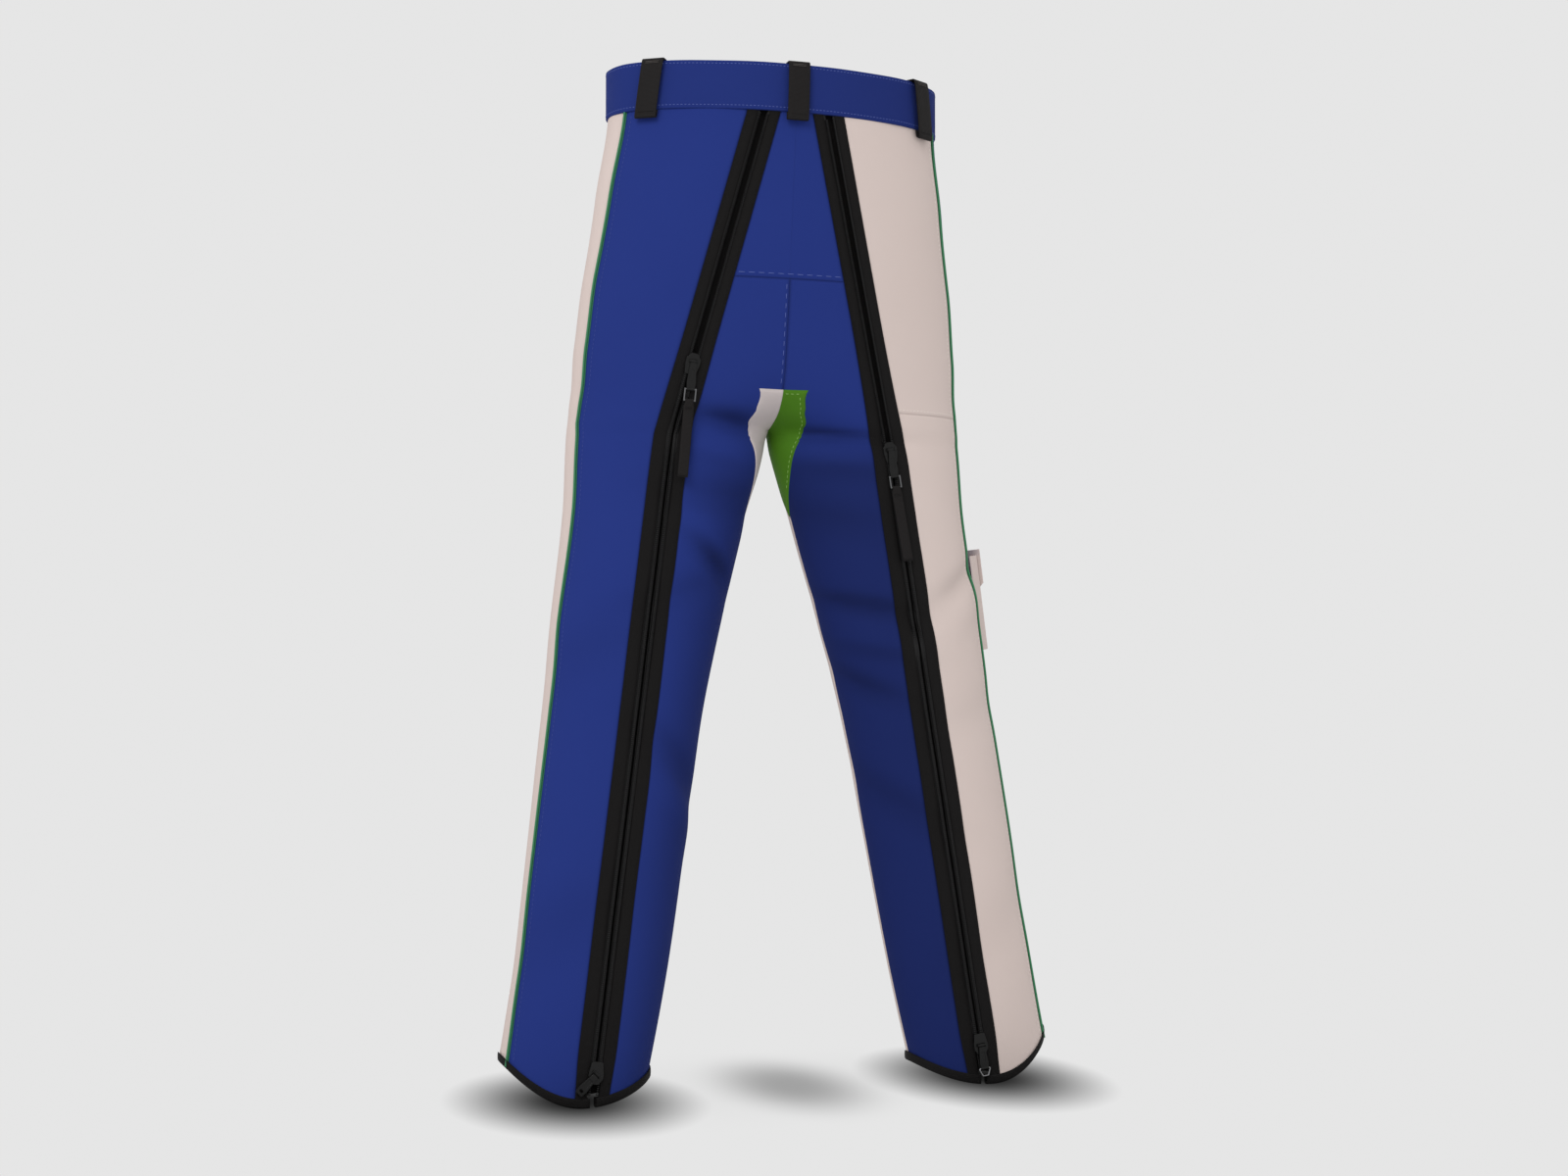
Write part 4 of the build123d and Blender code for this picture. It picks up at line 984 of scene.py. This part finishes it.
for hand, side in (("right", 1), ("left", -1)):
    zip_edges = beside_zip(LINING_GAP), around(beside_zip(-LINING_GAP))
    lining(f"{hand}_leg_lining", side, *LEG_LINING, *zip_edges)
    pad = panel(f"{hand}_cut_protection_pad", side, *PAD, *zip_edges, FIBRE, lift=-2.5 * MM, thick=5.9 * MM,
                dip=1.2 * MM, step=8 * MM, sunk=quilted, sheet=False)
    stays(pad, "pad_fibre", f"{hand}_cut_protection_pad")
lining("front_hip_lining", 0, *HIP_LINING, beside_zip(LINING_GAP), front_of(plane_x()))
lining("seat_lining", 0, *HIP_LINING, beside_zip(-LINING_GAP), plane_x())

# ------------------------------------------------------------------ fly, button and pocket
cloth_nodes = {
    "fly_placket": (BLUE, "blue_fabric"),
    "fly_zip": (COIL, "black_coil"),
    "cargo_pocket_pouch": (CREAM, "cream_fabric"),
    "cargo_pocket_flap": (CREAM, "cream_fabric"),
    "pocket_closure_tape": (TAPE, "black_webbing"),
}
for node, (material, slot_name) in cloth_nodes.items():
    obj = dressed(node, material)
    co = np.empty(len(obj.data.vertices) * 3, np.float32)
    obj.data.vertices.foreach_get("co", co)
    layer = obj.data.attributes.new("cloth", "FLOAT_VECTOR", "POINT")
    layer.data.foreach_set("vector", co.reshape(-1, 3)[:, [0, 2, 1]].ravel())

# ------------------------------------------------------------------ stage, light and camera
scene = bpy.context.scene
scene.view_settings.view_transform = "Standard"
scene.view_settings.look = "None"
BACKDROP = (0.79, 0.79, 0.79, 1)
world = bpy.data.worlds.new("studio")
scene.world = world
world.use_nodes = True
world.node_tree.nodes["Background"].inputs["Color"].default_value = BACKDROP
world.node_tree.nodes["Background"].inputs["Strength"].default_value = 1.0
floor_mesh = bpy.data.meshes.new("studio_floor")
floor_mesh.from_pydata([(-30, -30, 0), (30, -30, 0), (30, 30, 0), (-30, 30, 0)], [], [(0, 1, 2, 3)])
floor = bpy.data.objects.new("studio_floor", floor_mesh)
floor.location.z = -0.0005
scene.collection.objects.link(floor)
FLOOR = bpy.data.materials.new("studio_floor")
FLOOR.use_nodes = True
tree = FLOOR.node_tree
tree.nodes.clear()
# soft shadows on the floor: centre, half sizes, darkness, sharpness of the edge
SHADOWS = [
    ((0.236, -0.024), (0.138, 0.215), 0.99, 2.2),
    ((-0.226, -0.026), (0.140, 0.205), 0.99, 2.2),
    ((0.016, -0.012), (0.118, 0.230), 0.52, 1.0),
    ((0.0, 0.0), (0.46, 0.26), 0.05, 1.0),
]
place = add(tree, "NewGeometry").outputs["Position"]
lit = 1.0
for (x, y), (wide, deep), dark, hard in SHADOWS:
    moved = add(tree, "Mapping", {"Location": (x, y, 0), "Scale": (wide, deep, 1), "Vector": place},
                vector_type="TEXTURE")
    apart = add(tree, "SeparateXYZ", {0: moved.outputs[0]})
    flat = add(tree, "CombineXYZ", {"X": apart.outputs["X"], "Y": apart.outputs["Y"]})
    far = add(tree, "VectorMath", {0: flat.outputs[0]}, operation="LENGTH").outputs["Value"]
    fade = add(tree, "MapRange", {"From Min": 1.0, "From Max": 0.0, "Value": far}, interpolation_type="SMOOTHERSTEP")
    deepened = maths(tree, "POWER", fade.outputs[0], 1 / hard)
    lit = maths(tree, "MULTIPLY", lit, maths(tree, "MULTIPLY_ADD", deepened, -dark, 1.0))
tone = add(tree, "Mix", {0: lit, 6: (0.004, 0.004, 0.004, 1), 7: BACKDROP}, data_type="RGBA")
glow = add(tree, "Emission", {"Color": tone.outputs[2]})
add(tree, "OutputMaterial", {"Surface": glow.outputs[0]})
floor_mesh.materials.append(FLOOR)


def lamp(name, place, target, size, power):
    data = bpy.data.lights.new(name, "AREA")
    data.shape = "DISK"
    data.size = size
    data.energy = power
    light = bpy.data.objects.new(name, data)
    light.location = place
    light.rotation_euler = (Vector(target) - Vector(place)).to_track_quat("-Z", "Y").to_euler()
    scene.collection.objects.link(light)


lamp("key", (-1.6, -2.2, 2.4), (0, 0, 0.6), 1.6, 40)

camera_data = bpy.data.cameras.new("photo_camera")
camera_data.lens = 50.2
camera_data.sensor_width = 36
camera = bpy.data.objects.new("photo_camera", camera_data)
camera.location = (-0.7064, -2.2976, 0.453)
camera.rotation_euler = Vector((0.2982, 0.9538, 0.0367)).to_track_quat("-Z", "Y").to_euler()
scene.collection.objects.link(camera)
scene.camera = camera
